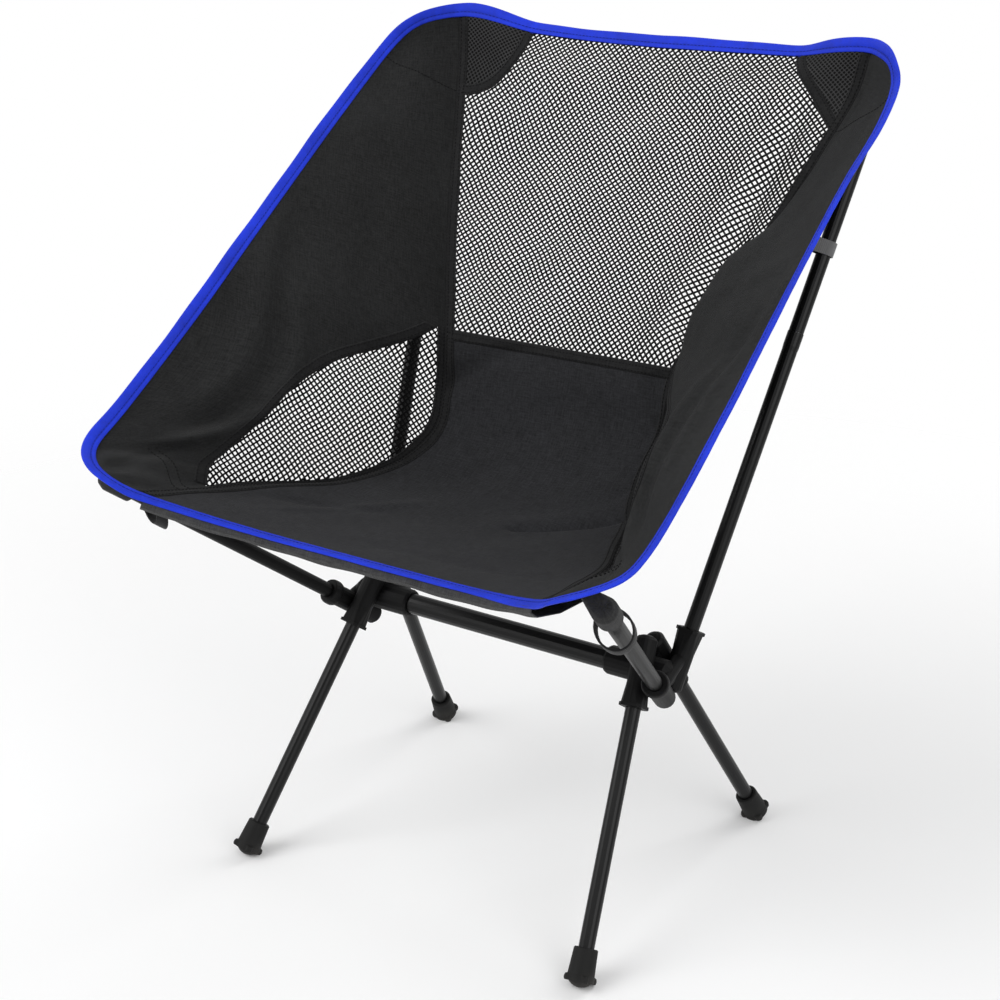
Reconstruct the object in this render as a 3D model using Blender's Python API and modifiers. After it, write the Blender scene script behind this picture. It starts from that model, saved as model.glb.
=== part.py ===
"""A folding camp chair: a low cloth sling on a frame of poles that plug into two hubs.

Metres, +Z up. The floor is Z 0, the sitter faces -Y, and the origin is the middle of the chair's
footprint. "Right" is +X, the right-hand side for someone who faces the chair. Every "left" piece is
the mirror image of the right one.
"""

import math
from dataclasses import dataclass

import bmesh
import bpy
import numpy as np
from mathutils import Matrix, Vector

# Clearances and mesh fineness
FIT_GAP = 0.0003
SEWN_GAP = 0.0004
BORE_CLEARANCE = 0.00035
ROUND_SIDES = 20
BORE_SIDES = 22
SHARP_ANGLE = 35
MERGE_DISTANCE = 0.00001

# Crossbar. A negative setback puts it ahead of the origin.
CROSSBAR_DIAMETER = 0.0185
CROSSBAR_WALL = 0.0012
CROSSBAR_HALF_LENGTH = 0.130
CROSSBAR_HEIGHT = 0.1997
CROSSBAR_SETBACK = -0.0068

# Poles
POLE_DIAMETER = 0.013
POLE_WALL = 0.001
UPPER_POLE_DIAMETER = 0.0127
SWAGE_DIAMETER = 0.0136
SWAGE_LENGTH = 0.012
SEAT_POLE_REACH = 0.290
BACK_POLE_REACH = 0.527
BACK_JOINT_REACH = 0.300
FERRULE_HALF_LENGTH = 0.035
TIP_HEAD_LENGTH = 0.006
TIP_STEM_LENGTH = 0.014
CORD_DIAMETER = 0.0035
KNOT_LENGTH = 0.008

# Hubs
COLLAR_MOUTH = 0.1035
COLLAR_DIAMETER = 0.0248
COLLAR_CHAMFER = 0.002
BARREL_END = 0.164
SLEEVE_DIAMETER = 0.019
FLANGE_WIDTH = 0.0205
FLANGE_THICKNESS = 0.0025
FLARE_LENGTH = 0.020
RING_BEAD = 0.0022
RING_LENGTH = 0.010
WEB_WIDTH = 0.013

# Feet
FOOT_DOME_RADIUS = 0.0122
FOOT_FLAT_DEPTH = 0.0004
FOOT_MOUTH_RADIUS = 0.00975
FOOT_CONE_RADIUS = 0.0109
FOOT_SKIRT_RADIUS = 0.0112
FOOT_HEIGHT = 0.0187
FOOT_LIP = 0.0008
PETALS = 4
PETAL_REACH = 0.0026
PETAL_TOP = -0.0032
PETAL_BOTTOM = -0.0080
PETAL_HALF_ANGLE = 18

# Sling
PANEL_THICKNESS = 0.001
BINDING_WIDTH = 0.011
BINDING_THICKNESS = 0.0018
SEAT_BACK_SHARE = 0.6
NOTCH_SHARE = 0.66
NOTCH_FADE_START = 0.9
PATCH_DROP = 0.115
WINDOW_START = 0.092
WINDOW_MARGIN = 0.008
POCKET_WALL = 0.0015
FRONT_POCKET_WALL = 0.003
POCKET_LENGTH = 0.026
POCKET_PAD = 0.010
# Where each pocket is sewn to the wing: the share across it, then the share along it.
FRONT_POCKET_PLACE = (0.78, 0.075)
TOP_POCKET_PLACE = (0.30, 0.955)
LOOP_THICKNESS = 0.0012
LOOP_WIDTH = 0.012
LOOP_SLANT = 0.016
LOOP_STANDOFF = 0.008
BAND_STEPS = 32
TAB_SHARE = 0.77
FACING_THICKNESS = 0.0008
FACING_COLUMNS = 7
# The facing's section, as distances outward from the seat's edge and down from its surface.
FACING_PROFILE = (
    (0.009, 0.0022),
    (0.011, 0.006),
    (0.007, 0.010),
    (-0.010, 0.0115),
    (-0.028, 0.008),
    (-0.045, 0.004),
)

# Guide lines of the sling. Each row is a share of the way from the seat pole's tip to the back
# pole's tip, then the point's offset from the straight line between the two tips.
SEAM_GUIDE = (
    (0.000, -0.041, -0.008, -0.001),
    (0.067, -0.050, 0.010, -0.033),
    (0.133, -0.064, 0.048, -0.068),
    (0.200, -0.092, 0.082, -0.100),
    (0.267, -0.109, 0.104, -0.117),
    (0.333, -0.119, 0.104, -0.122),
    (0.400, -0.119, 0.090, -0.128),
    (0.467, -0.114, 0.071, -0.128),
    (0.600, -0.106, 0.023, -0.112),
    (0.733, -0.067, 0.019, -0.067),
    (0.867, -0.033, 0.015, -0.020),
    (0.933, -0.018, 0.009, 0.000),
    (1.000, -0.011, -0.012, 0.015),
)
EDGE_GUIDE = (
    (0.000, -0.027, -0.016, 0.008),
    (0.067, -0.005, -0.047, -0.002),
    (0.133, 0.015, -0.059, -0.014),
    (0.200, 0.019, -0.068, -0.024),
    (0.400, 0.023, -0.065, -0.022),
    (0.667, 0.027, -0.085, -0.026),
    (0.800, 0.029, -0.055, -0.002),
    (0.900, 0.032, -0.046, 0.004),
    (0.933, 0.031, -0.041, 0.009),
    (0.967, 0.028, -0.043, 0.010),
    (1.000, 0.020, -0.047, 0.012),
)
# The middle line lies in the plane X 0, so its rows hold only the Y and Z offsets.
MIDDLE_GUIDE = (
    (0.000, 0.033, -0.030),
    (0.133, 0.070, -0.087),
    (0.267, 0.107, -0.126),
    (0.333, 0.109, -0.131),
    (0.400, 0.097, -0.133),
    (0.467, 0.078, -0.130),
    (0.600, 0.032, -0.115),
    (0.800, 0.028, -0.045),
    (1.000, 0.004, 0.005),
)
# How sharply a row across the sling turns up at its seams: the power of a curve through the middle.
TURN_UP = ((0.0, 4.0), (0.2, 2.6), (0.4, 2.0), (0.6, 1.8), (1.0, 1.8))
# Height of the window above the side seam, measured along the wing.
WINDOW_HEIGHT = (
    (WINDOW_START, WINDOW_MARGIN),
    (0.130, 0.046),
    (0.200, 0.104),
    (0.300, 0.136),
    (0.400, 0.120),
    (0.500, 0.072),
    (SEAT_BACK_SHARE, WINDOW_MARGIN),
)


@dataclass(frozen=True)
class Socket:
    """A pole's straight axis past the crossbar, and the sleeve of the hub that holds the pole.

    Distances along the axis start at its nearest point to the crossbar and grow towards the mouth.
    """

    station: float
    offset: float
    lean: float
    splay: float
    ahead: int
    rise: int
    mouth: float
    bottom: float
    tail: float

    def direction(self) -> Vector:
        """The unit vector from the hub out along the pole."""
        across = math.tan(math.radians(self.splay))
        along = self.ahead * math.tan(math.radians(self.lean))
        return Vector((across, along, self.rise)).normalized()

    def at(self, distance: float) -> Vector:
        """The point of the axis at this distance from its nearest point to the crossbar."""
        direction = self.direction()
        aside = Vector((0, direction.z, -direction.y)).normalized() * self.offset
        nearest = Vector((self.station, CROSSBAR_SETBACK, CROSSBAR_HEIGHT)) + aside
        return nearest + direction * distance

    def frame(self, distance: float = 0.0) -> Matrix:
        """A matrix whose Z runs along the axis and whose origin is at this distance."""
        return frame_on(self.at(distance), self.direction())


FRONT_LEG = Socket(0.142, 0.0155, 36.5, 9.3, -1, -1, mouth=0.035, bottom=-0.018, tail=-0.026)
REAR_LEG = Socket(0.138, -0.0235, 29.6, 10.4, 1, -1, mouth=0.050, bottom=0.0, tail=-0.013)
SEAT_POLE = Socket(0.159, -0.0152, 49.8, 23.0, -1, 1, mouth=0.038, bottom=-0.008, tail=-0.025)
BACK_POLE = Socket(0.157, 0.0185, 26.8, 7.3, 1, 1, mouth=0.041, bottom=-0.010, tail=-0.014)


# Scene helpers


def clear_scene():
    """Removes every object that the file starts with."""
    for item in list(bpy.data.objects):
        bpy.data.objects.remove(item, do_unlink=True)


def new_collection(name, hidden=False):
    """Adds a collection to the scene."""
    collection = bpy.data.collections.new(name)
    collection.hide_render = hidden
    bpy.context.scene.collection.children.link(collection)
    return collection


def finish(name, colour, roughness, metallic=0.0):
    """A Principled material of one colour."""
    material = bpy.data.materials.new(name)
    material.use_nodes = True
    shader = material.node_tree.nodes["Principled BSDF"]
    shader.inputs["Base Color"].default_value = (*colour, 1.0)
    shader.inputs["Roughness"].default_value = roughness
    shader.inputs["Metallic"].default_value = metallic
    return material


def add_object(name, mesh, collection, material=None, matrix=None):
    """Links a new object that shows this mesh."""
    item = bpy.data.objects.new(name, mesh)
    if material is not None:
        mesh.materials.append(material)
    if matrix is not None:
        item.matrix_world = matrix
    collection.objects.link(item)
    return item


def frame_on(origin, direction):
    """A matrix at origin with Z along direction and X as near to world X as it can be."""
    forward = Vector(direction).normalized()
    guide = Vector((1, 0, 0)) if abs(forward.x) < 0.9 else Vector((0, 0, 1))
    sideways = (guide - forward * guide.dot(forward)).normalized()
    upward = forward.cross(sideways)
    turn = Matrix((sideways, upward, forward)).transposed().to_4x4()
    return Matrix.Translation(origin) @ turn


def evaluated_mesh(item):
    """The mesh of an object with its modifiers applied."""
    bpy.context.view_layer.update()
    graph = bpy.context.evaluated_depsgraph_get()
    return bpy.data.meshes.new_from_object(item.evaluated_get(graph))


def turned(name, profile, collection, material=None, matrix=None, sides=ROUND_SIDES):
    """A turned solid: a profile of (radius, height) pairs, from top to bottom, about local Z.

    A profile that starts and ends on the axis makes a solid. Any other is closed into a ring.
    """
    mesh = bpy.data.meshes.new(name)
    edges = [(index, index + 1) for index in range(len(profile) - 1)]
    if profile[0][0] > 0 or profile[-1][0] > 0:
        edges.append((len(profile) - 1, 0))
    mesh.from_pydata([(radius, 0.0, height) for radius, height in profile], edges, [])
    item = add_object(name, mesh, collection, material, matrix)
    screw = item.modifiers.new("turn", "SCREW")
    screw.steps = sides
    screw.render_steps = sides
    screw.use_merge_vertices = True
    screw.merge_threshold = MERGE_DISTANCE
    return item


def hull(name, points, collection, material=None):
    """The solid that a tight skin around these points encloses."""
    mesh = bpy.data.meshes.new(name)
    shape = bmesh.new()
    for point in points:
        shape.verts.new(point)
    bmesh.ops.convex_hull(shape, input=shape.verts)
    loose = [vertex for vertex in shape.verts if not vertex.link_faces]
    bmesh.ops.delete(shape, geom=loose, context="VERTS")
    bmesh.ops.recalc_face_normals(shape, faces=shape.faces)
    shape.to_mesh(mesh)
    shape.free()
    return add_object(name, mesh, collection, material)


def ring_points(matrix, radius, height, sides=ROUND_SIDES):
    """Points on a circle about a matrix's Z axis."""
    angles = [2 * math.pi * step / sides for step in range(sides)]
    circle = [Vector((radius * math.cos(a), radius * math.sin(a), height)) for a in angles]
    return [matrix @ point for point in circle]


def square_points(matrix, width, height, corner):
    """Points on a square with bevelled corners about a matrix's Z axis."""
    half = width / 2
    pairs = [(half, half - corner), (half - corner, half)]
    pairs += [(-y, x) for x, y in pairs]
    pairs += [(-x, -y) for x, y in pairs]
    return [matrix @ Vector((x, y, height)) for x, y in pairs]


def shade(mesh):
    """Shades a mesh smooth, apart from its sharp edges."""
    mesh.shade_smooth()
    mesh.set_sharp_from_angle(angle=math.radians(SHARP_ANGLE))


def combined(item, blocks, cutters):
    """Joins one collection of blocks to an object, cuts another away, and returns the mesh."""
    for operation, collection in (("UNION", blocks), ("DIFFERENCE", cutters)):
        if collection is None:
            continue
        boolean = item.modifiers.new(operation.lower(), "BOOLEAN")
        boolean.operation = operation
        boolean.operand_type = "COLLECTION"
        boolean.collection = collection
    mesh = evaluated_mesh(item)
    shape = bmesh.new()
    shape.from_mesh(mesh)
    bmesh.ops.dissolve_degenerate(shape, edges=shape.edges, dist=MERGE_DISTANCE)
    shape.to_mesh(mesh)
    shape.free()
    shade(mesh)
    return mesh


# Frame pieces


def tube_profile(diameter, wall, start, end):
    """The closed profile of a tube between two heights."""
    outer = diameter / 2
    inner = outer - wall
    return [(outer, end), (outer, start), (inner, start), (inner, end)]


def add_tube(name, socket, start, end, diameter, wall, kit):
    """A straight tube on a socket's axis, with its origin at the socket's mouth."""
    origin = socket.mouth
    profile = tube_profile(diameter, wall, start - origin, end - origin)
    return turned(name, profile, kit.parts, kit.pole, socket.frame(origin))


def add_crossbar(kit):
    """The thick tube between the hubs."""
    profile = tube_profile(
        CROSSBAR_DIAMETER, CROSSBAR_WALL, -CROSSBAR_HALF_LENGTH, CROSSBAR_HALF_LENGTH
    )
    middle = Vector((0, CROSSBAR_SETBACK, CROSSBAR_HEIGHT))
    turned("crossbar", profile, kit.parts, kit.crossbar, frame_on(middle, (1, 0, 0)))


def sleeve_profile(radius, start, end):
    """A solid cylinder whose lower end is a shallow dome."""
    dome = radius * 0.45
    return [
        (0.0, end),
        (radius, end),
        (radius, start + dome),
        (radius * 0.8, start + dome * 0.4),
        (radius * 0.45, start + dome * 0.08),
        (0.0, start),
    ]


def add_sleeve(name, socket, blocks):
    """The round sleeve of one socket."""
    profile = sleeve_profile(SLEEVE_DIAMETER / 2, socket.tail, socket.mouth - RING_LENGTH / 3)
    turned(name, profile, blocks, matrix=socket.frame())


def add_square_mouth(name, socket, blocks):
    """The flare of a sleeve to a square flange, and the flange."""
    matrix = socket.frame()
    flare_end = socket.mouth - FLANGE_THICKNESS
    corner = FLANGE_WIDTH * 0.15
    narrow = FLANGE_WIDTH - 2 * FIT_GAP
    flare = ring_points(matrix, SLEEVE_DIAMETER / 2 - FIT_GAP, flare_end - FLARE_LENGTH)
    flare += square_points(matrix, narrow - FLANGE_THICKNESS / 2, flare_end, corner)
    hull(name + "_flare", flare, blocks)
    flange = square_points(matrix, FLANGE_WIDTH, flare_end - FIT_GAP, corner)
    flange += square_points(matrix, FLANGE_WIDTH, socket.mouth, corner)
    hull(name + "_flange", flange, blocks)


def add_round_mouth(name, socket, blocks):
    """The thick rounded ring at the mouth of the seat pole's sleeve."""
    base = SLEEVE_DIAMETER / 2
    profile = [(0.0, socket.mouth)]
    for step in range(7):
        angle = math.pi * step / 6
        height = socket.mouth - RING_LENGTH * (1 - math.cos(angle)) / 2
        profile.append((base + RING_BEAD * (0.3 + 0.7 * math.sin(angle)), height))
    profile.append((0.0, socket.mouth - RING_LENGTH))
    turned(name, profile, blocks, matrix=socket.frame())


def add_hub(kit):
    """The right hub: a barrel, four sleeves, a web and a rib, with five blind bores."""
    blocks = new_collection("hub_blocks", hidden=True)
    bores = new_collection("hub_bores", hidden=True)
    centre = Vector((COLLAR_MOUTH, CROSSBAR_SETBACK, CROSSBAR_HEIGHT))
    barrel = COLLAR_DIAMETER / 2
    length = BARREL_END - COLLAR_MOUTH
    profile = [(0.0, length), (barrel * 0.6, length), (barrel, length - barrel * 0.4)]
    profile += [(barrel, COLLAR_CHAMFER), (barrel - COLLAR_CHAMFER / 2, 0.0), (0.0, 0.0)]
    base = turned("hub_barrel", profile, kit.cutters, matrix=frame_on(centre, (1, 0, 0)))
    sockets = {"front": FRONT_LEG, "rear": REAR_LEG, "seat": SEAT_POLE, "back": BACK_POLE}
    for name, socket in sockets.items():
        add_sleeve(name + "_sleeve", socket, blocks)
        if socket is SEAT_POLE:
            add_round_mouth("seat_mouth", socket, blocks)
        elif socket is not REAR_LEG:
            add_square_mouth(name + "_mouth", socket, blocks)
        radius = POLE_DIAMETER / 2 + BORE_CLEARANCE
        top = socket.mouth + FLANGE_THICKNESS
        bore = [(0.0, top), (radius, top), (radius, socket.bottom), (0.0, socket.bottom)]
        turned(name + "_bore", bore, bores, matrix=socket.frame(), sides=BORE_SIDES)
    add_web("rear_web", blocks)
    add_rib("outer_rib", blocks)
    radius = CROSSBAR_DIAMETER / 2 + BORE_CLEARANCE
    depth = CROSSBAR_HALF_LENGTH + FIT_GAP - COLLAR_MOUTH
    bore = [(0.0, depth), (radius, depth), (radius, -barrel), (0.0, -barrel)]
    turned("crossbar_bore", bore, bores, matrix=frame_on(centre, (1, 0, 0)), sides=BORE_SIDES)
    for helper in [base, *blocks.objects, *bores.objects]:
        helper.display_type = "WIRE"
        helper.hide_render = True
    mesh = combined(base, blocks, bores)
    mesh.transform(base.matrix_world)
    mesh.transform(Matrix.Translation(-centre))
    return add_object("hub_right", mesh, kit.parts, kit.hub, Matrix.Translation(centre))


def add_web(name, blocks):
    """The block that ties the rear leg's sleeve to the barrel."""
    half = WEB_WIDTH / 2
    near = Vector((REAR_LEG.station, CROSSBAR_SETBACK, CROSSBAR_HEIGHT))
    points = []
    for side in (-half, half):
        across = Vector((side, 0, 0))
        points += [near + across + Vector((0, 0, half)), near + across - Vector((0, 0, half))]
        points += [REAR_LEG.at(-half * 0.5) + across, REAR_LEG.at(REAR_LEG.mouth * 0.5) + across]
    hull(name, points, blocks)


def add_rib(name, blocks):
    """The rounded rib outboard of the seat pole's sleeve, up to the back pole's sleeve."""
    lower = SEAT_POLE.at(SEAT_POLE.mouth * 0.35)
    upper = BACK_POLE.at(BACK_POLE.mouth * 0.45)
    direction = upper - lower
    radius = SLEEVE_DIAMETER * 0.32
    matrix = frame_on(lower, direction)
    profile = [(0.0, direction.length + radius * 0.6), (radius * 0.7, direction.length + radius * 0.3)]
    profile += [(radius, direction.length), (radius, 0.0), (0.0, 0.0)]
    turned(name, profile, blocks, matrix=matrix)


def foot_centre(socket):
    """How far along a leg's axis the centre of its foot's dome lies."""
    height = FOOT_DOME_RADIUS - FOOT_FLAT_DEPTH
    return (height - socket.at(0.0).z) / socket.direction().z


def foot_profile():
    """The foot's outline, from its mouth down to its dome."""
    bore = POLE_DIAMETER / 2 + BORE_CLEARANCE
    floor = -POLE_WALL * 2
    profile = [
        (0.0, floor),
        (bore, floor),
        (bore, FOOT_HEIGHT),
        (FOOT_MOUTH_RADIUS - FOOT_LIP, FOOT_HEIGHT),
        (FOOT_MOUTH_RADIUS, FOOT_HEIGHT - FOOT_LIP),
        (FOOT_CONE_RADIUS, PETAL_TOP + FOOT_LIP),
    ]
    for step in range(4):
        profile.append((FOOT_SKIRT_RADIUS, PETAL_TOP + (PETAL_BOTTOM - PETAL_TOP) * step / 3))
    skirt_angle = math.acos(-PETAL_BOTTOM / FOOT_DOME_RADIUS)
    for step in range(5):
        angle = skirt_angle * (1 - step / 5)
        profile.append((FOOT_DOME_RADIUS * math.sin(angle), -FOOT_DOME_RADIUS * math.cos(angle)))
    profile.append((0.0, -FOOT_DOME_RADIUS))
    return profile


def petal_swell(point):
    """How much a point of the skirt moves out to form the petals: its radius times this."""
    pitch = 2 * math.pi / PETALS
    turn = math.atan2(point.y, point.x) % pitch - pitch / 2
    width = max(0.0, math.cos(turn / math.radians(PETAL_HALF_ANGLE) * math.pi / 2))
    level = 2 * (point.z - PETAL_BOTTOM) / (PETAL_TOP - PETAL_BOTTOM) - 1
    return 1 + PETAL_REACH / FOOT_SKIRT_RADIUS * math.sqrt(width) * math.cos(level * math.pi / 4)


def add_foot(name, socket, kit):
    """A rubber foot with petals round its skirt and a worn flat where it meets the floor."""
    upward = frame_on(socket.at(foot_centre(socket)), -socket.direction())
    sides = PETALS * 10
    blank = turned(name + "_blank", foot_profile(), kit.cutters, matrix=upward, sides=sides)
    shaped = evaluated_mesh(blank)
    bpy.data.objects.remove(blank)
    for vertex in shaped.vertices:
        if math.hypot(vertex.co.x, vertex.co.y) > FOOT_SKIRT_RADIUS * 0.99:
            swell = petal_swell(vertex.co)
            vertex.co.x *= swell
            vertex.co.y *= swell
    item = add_object(name, shaped, kit.parts, kit.rubber, upward)
    floor_cut = new_collection(name + "_floor_cut", hidden=True)
    size = FOOT_DOME_RADIUS * 4
    middle = upward.translation
    corners = [(x, y, z) for x in (-size, size) for y in (-size, size) for z in (-size, 0.0)]
    below = [Vector((middle.x + x, middle.y + y, z)) for x, y, z in corners]
    block = hull(name + "_floor", below, floor_cut)
    block.display_type = "WIRE"
    block.hide_render = True
    item.data = combined(item, None, floor_cut)
    item.modifiers.clear()
    return item


def cord_profile(start, end, knot_radius):
    """A cord with a knot at each end, from its top to its bottom."""
    cord = CORD_DIAMETER / 2
    arc = [0.0, 0.75, 1.0, 0.75]
    top = [(knot_radius * share, end - KNOT_LENGTH * step / 4) for step, share in enumerate(arc)]
    top.append((cord, end - KNOT_LENGTH))
    bottom = [(radius, start + end - height) for radius, height in reversed(top)]
    return top + bottom


def add_cord(name, socket, start, end, kit):
    """A shock cord on a socket's axis, held by a knot at each end inside the tube."""
    knot_radius = UPPER_POLE_DIAMETER / 2 - POLE_WALL - BORE_CLEARANCE
    profile = cord_profile(start - socket.mouth, end - socket.mouth, knot_radius)
    return turned(name, profile, kit.parts, kit.cord, socket.frame(socket.mouth), sides=12)


def add_leg(name, socket, kit):
    """A leg's tube, foot and shock cord, each with its origin on the leg's axis."""
    centre = foot_centre(socket)
    start = socket.bottom + FIT_GAP
    end = centre + POLE_WALL * 2 - FIT_GAP
    tube = add_tube(name + "_right", socket, start, end, POLE_DIAMETER, POLE_WALL, kit)
    foot = add_foot(name.replace("leg", "foot") + "_right", socket, kit)
    cord = add_cord(name + "_cord_right", socket, start + FIT_GAP, end - FIT_GAP, kit)
    return [tube, foot, cord]


def add_tip(name, socket, reach, diameter, kit):
    """The domed plug in the end of a pole."""
    origin = socket.mouth
    head = diameter / 2
    stem = head - POLE_WALL - BORE_CLEARANCE
    base = reach - TIP_HEAD_LENGTH - origin
    profile = [
        (0.0, reach - origin),
        (head * 0.55, reach - origin - TIP_HEAD_LENGTH * 0.12),
        (head * 0.9, reach - origin - TIP_HEAD_LENGTH * 0.45),
        (head, base),
        (stem, base),
        (stem, base - TIP_STEM_LENGTH),
        (0.0, base - TIP_STEM_LENGTH),
    ]
    return turned(name, profile, kit.parts, kit.tip, socket.frame(origin))


def add_seat_pole(kit):
    """The pole from the hub to a front corner of the sling."""
    start = SEAT_POLE.bottom + FIT_GAP
    end = SEAT_POLE_REACH - TIP_HEAD_LENGTH - FIT_GAP
    tube = add_tube("seat_pole_right", SEAT_POLE, start, end, POLE_DIAMETER, POLE_WALL, kit)
    tip = add_tip("seat_pole_tip_right", SEAT_POLE, SEAT_POLE_REACH, POLE_DIAMETER, kit)
    plug = SEAT_POLE_REACH - TIP_HEAD_LENGTH - TIP_STEM_LENGTH
    cord = add_cord("seat_pole_cord_right", SEAT_POLE, start + FIT_GAP, plug - FIT_GAP, kit)
    return [tube, tip, cord]


def add_back_pole(kit):
    """The two-part pole from the hub to a top corner of the sling."""
    socket = BACK_POLE
    origin = socket.mouth
    start = socket.bottom + FIT_GAP
    joint = BACK_JOINT_REACH
    outer = POLE_DIAMETER / 2
    inner = outer - POLE_WALL
    profile = [
        (SWAGE_DIAMETER / 2, joint - origin),
        (SWAGE_DIAMETER / 2, joint - SWAGE_LENGTH - origin),
        (outer, joint - SWAGE_LENGTH * 1.3 - origin),
        (outer, start - origin),
        (inner, start - origin),
        (inner, joint - origin),
    ]
    lower = turned("back_pole_lower_right", profile, kit.parts, kit.pole, socket.frame(origin))
    upper_end = BACK_POLE_REACH - TIP_HEAD_LENGTH - FIT_GAP
    upper = add_tube(
        "back_pole_upper_right",
        socket,
        joint + FIT_GAP,
        upper_end,
        UPPER_POLE_DIAMETER,
        POLE_WALL,
        kit,
    )
    ferrule_diameter = UPPER_POLE_DIAMETER - 2 * (POLE_WALL + BORE_CLEARANCE)
    ferrule = turned(
        "back_pole_ferrule_right",
        tube_profile(
            ferrule_diameter,
            POLE_WALL,
            joint - FERRULE_HALF_LENGTH - origin,
            joint + FERRULE_HALF_LENGTH - origin,
        ),
        kit.parts,
        kit.ferrule,
        socket.frame(origin),
    )
    tip = add_tip("back_pole_tip_right", socket, BACK_POLE_REACH, UPPER_POLE_DIAMETER, kit)
    plug = BACK_POLE_REACH - TIP_HEAD_LENGTH - TIP_STEM_LENGTH
    cord = add_cord("back_pole_cord_right", socket, start + FIT_GAP, plug - FIT_GAP, kit)
    return [lower, upper, ferrule, tip, cord]


# Sling surfaces


def spline(table, share):
    """Values of a smooth curve through a table's rows, at each of these shares."""
    rows = np.array(table, float)
    knots, values = rows[:, 0], rows[:, 1:]
    share = np.atleast_1d(np.asarray(share, float))
    step = np.diff(knots)[:, None]
    slope = np.diff(values, axis=0) / step
    inner = (slope[:-1] * step[1:] + slope[1:] * step[:-1]) / (step[1:] + step[:-1])
    tangent = np.vstack([slope[:1], inner, slope[-1:]])
    index = np.clip(np.searchsorted(knots, share) - 1, 0, len(knots) - 2)
    width = step[index]
    x = (share[:, None] - knots[index][:, None]) / width
    start = (2 * x**3 - 3 * x**2 + 1) * values[index] + (x**3 - 2 * x**2 + x) * width * tangent[index]
    end = (3 * x**2 - 2 * x**3) * values[index + 1] + (x**3 - x**2) * width * tangent[index + 1]
    return start + end


def tip_line(share):
    """Points on the straight line from the seat pole's tip to the back pole's tip."""
    front = np.array(SEAT_POLE.at(SEAT_POLE_REACH))
    back = np.array(BACK_POLE.at(BACK_POLE_REACH))
    return front + np.outer(np.atleast_1d(share), back - front)


def seam_line(share):
    """The seam between the seat or back and the right wing."""
    return tip_line(share) + spline(SEAM_GUIDE, share)


def edge_line(share):
    """The free edge of the right wing."""
    return tip_line(share) + spline(EDGE_GUIDE, share)


def middle_line(share):
    """The middle of the seat and back."""
    line = tip_line(share)
    line[:, 1:] += spline(MIDDLE_GUIDE, share)
    line[:, 0] = 0.0
    return line


def body_surface(across, share):
    """Points of the seat and back: across runs from -1 to 1, and share from front to top."""
    across, share = np.broadcast_arrays(np.atleast_1d(across), np.atleast_1d(share))
    middle, side = middle_line(share), seam_line(share)
    reach = np.abs(across)
    round_rise = reach ** spline(TURN_UP, share)[:, 0]
    beyond = np.clip((reach - NOTCH_SHARE) / (1 - NOTCH_SHARE), 0, 1)
    notched_rise = np.sin(beyond * math.pi / 2)
    fade = np.clip((share - NOTCH_FADE_START) / (1 - NOTCH_FADE_START), 0, 1)
    rise = round_rise + (notched_rise - round_rise) * fade**2
    points = middle + (side - middle) * rise[:, None]
    points[:, 0] = side[:, 0] * across
    return points


def wing_surface(across, share):
    """Points of the right wing: across runs from its seam to its free edge."""
    across, share = np.broadcast_arrays(np.atleast_1d(across), np.atleast_1d(share))
    seam = seam_line(share)
    return seam + (edge_line(share) - seam) * across[:, None]


def unit(vectors):
    """The same vectors at length 1."""
    return vectors / np.linalg.norm(vectors, axis=-1, keepdims=True)


def grid_normals(rows):
    """A normal on the sitter's side at each point of a grid."""
    corner = rows[1:, 1:] - rows[:-1, :-1]
    other = rows[1:, :-1] - rows[:-1, 1:]
    faces = np.cross(corner, other)
    normals = np.zeros_like(rows)
    for row in (slice(None, -1), slice(1, None)):
        for column in (slice(None, -1), slice(1, None)):
            normals[row, column] += faces
    return unit(normals)


def sheet(name, grids, thickness, kit, material, offset=-1.0, closed=False):
    """A thin solid on the far side of a surface, which grids of points describe."""
    points, faces = [], []
    for rows in grids:
        count, width = rows.shape[:2]
        first = len(points)
        points += rows.reshape(-1, 3).tolist()
        for row in range(count if closed else count - 1):
            below = first + row * width
            above = first + (row + 1) % count * width
            for column in range(width - 1):
                faces.append((below + column, below + column + 1, above + column + 1, above + column))
    mesh = bpy.data.meshes.new(name)
    mesh.from_pydata(points, [], faces)
    shape = bmesh.new()
    shape.from_mesh(mesh)
    bmesh.ops.remove_doubles(shape, verts=shape.verts, dist=MERGE_DISTANCE)
    shape.to_mesh(mesh)
    shape.free()
    shade(mesh)
    item = add_object(name, mesh, kit.parts, material)
    solidify = item.modifiers.new("cloth", "SOLIDIFY")
    solidify.thickness = thickness
    solidify.offset = offset
    return item


# Sling pieces


def seam_inset(share):
    """The part of a half row that the gap beside the side seam takes."""
    return SEWN_GAP / 2 / seam_line(share)[:, 0]


def body_rows(shares, columns, reach, trims=(0.0, 0.0)):
    """Rows of the seat or back. Trims move the first and last row along the surface."""
    rows = []
    for index, share in enumerate(shares):
        across = np.linspace(-1, 1, columns) * reach(share)
        points = body_surface(across, share)
        last = index == len(shares) - 1
        trim = trims[0] if index == 0 else trims[1] if last else 0.0
        if trim:
            inner = body_surface(across, shares[1] if index == 0 else shares[-2])
            points = points + unit(inner - points) * trim
        rows.append(points)
    return np.array(rows)


def seat_shares():
    """Shares of the rows that the seat and the wings have in common."""
    front = np.linspace(0, WINDOW_START, 4)
    return np.concatenate([front, np.linspace(WINDOW_START, SEAT_BACK_SHARE, 13)[1:]])


def patch_shares():
    """Shares of the rows that cross the top corner patches."""
    angles = np.linspace(0, math.pi / 2, 6)
    return 1 - PATCH_DROP * np.cos(angles)


def back_shares():
    """Shares of the rows that the back and the wings have in common."""
    lower = np.linspace(SEAT_BACK_SHARE, 1 - PATCH_DROP, 7)
    return np.concatenate([lower, patch_shares()[1:]])


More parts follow.
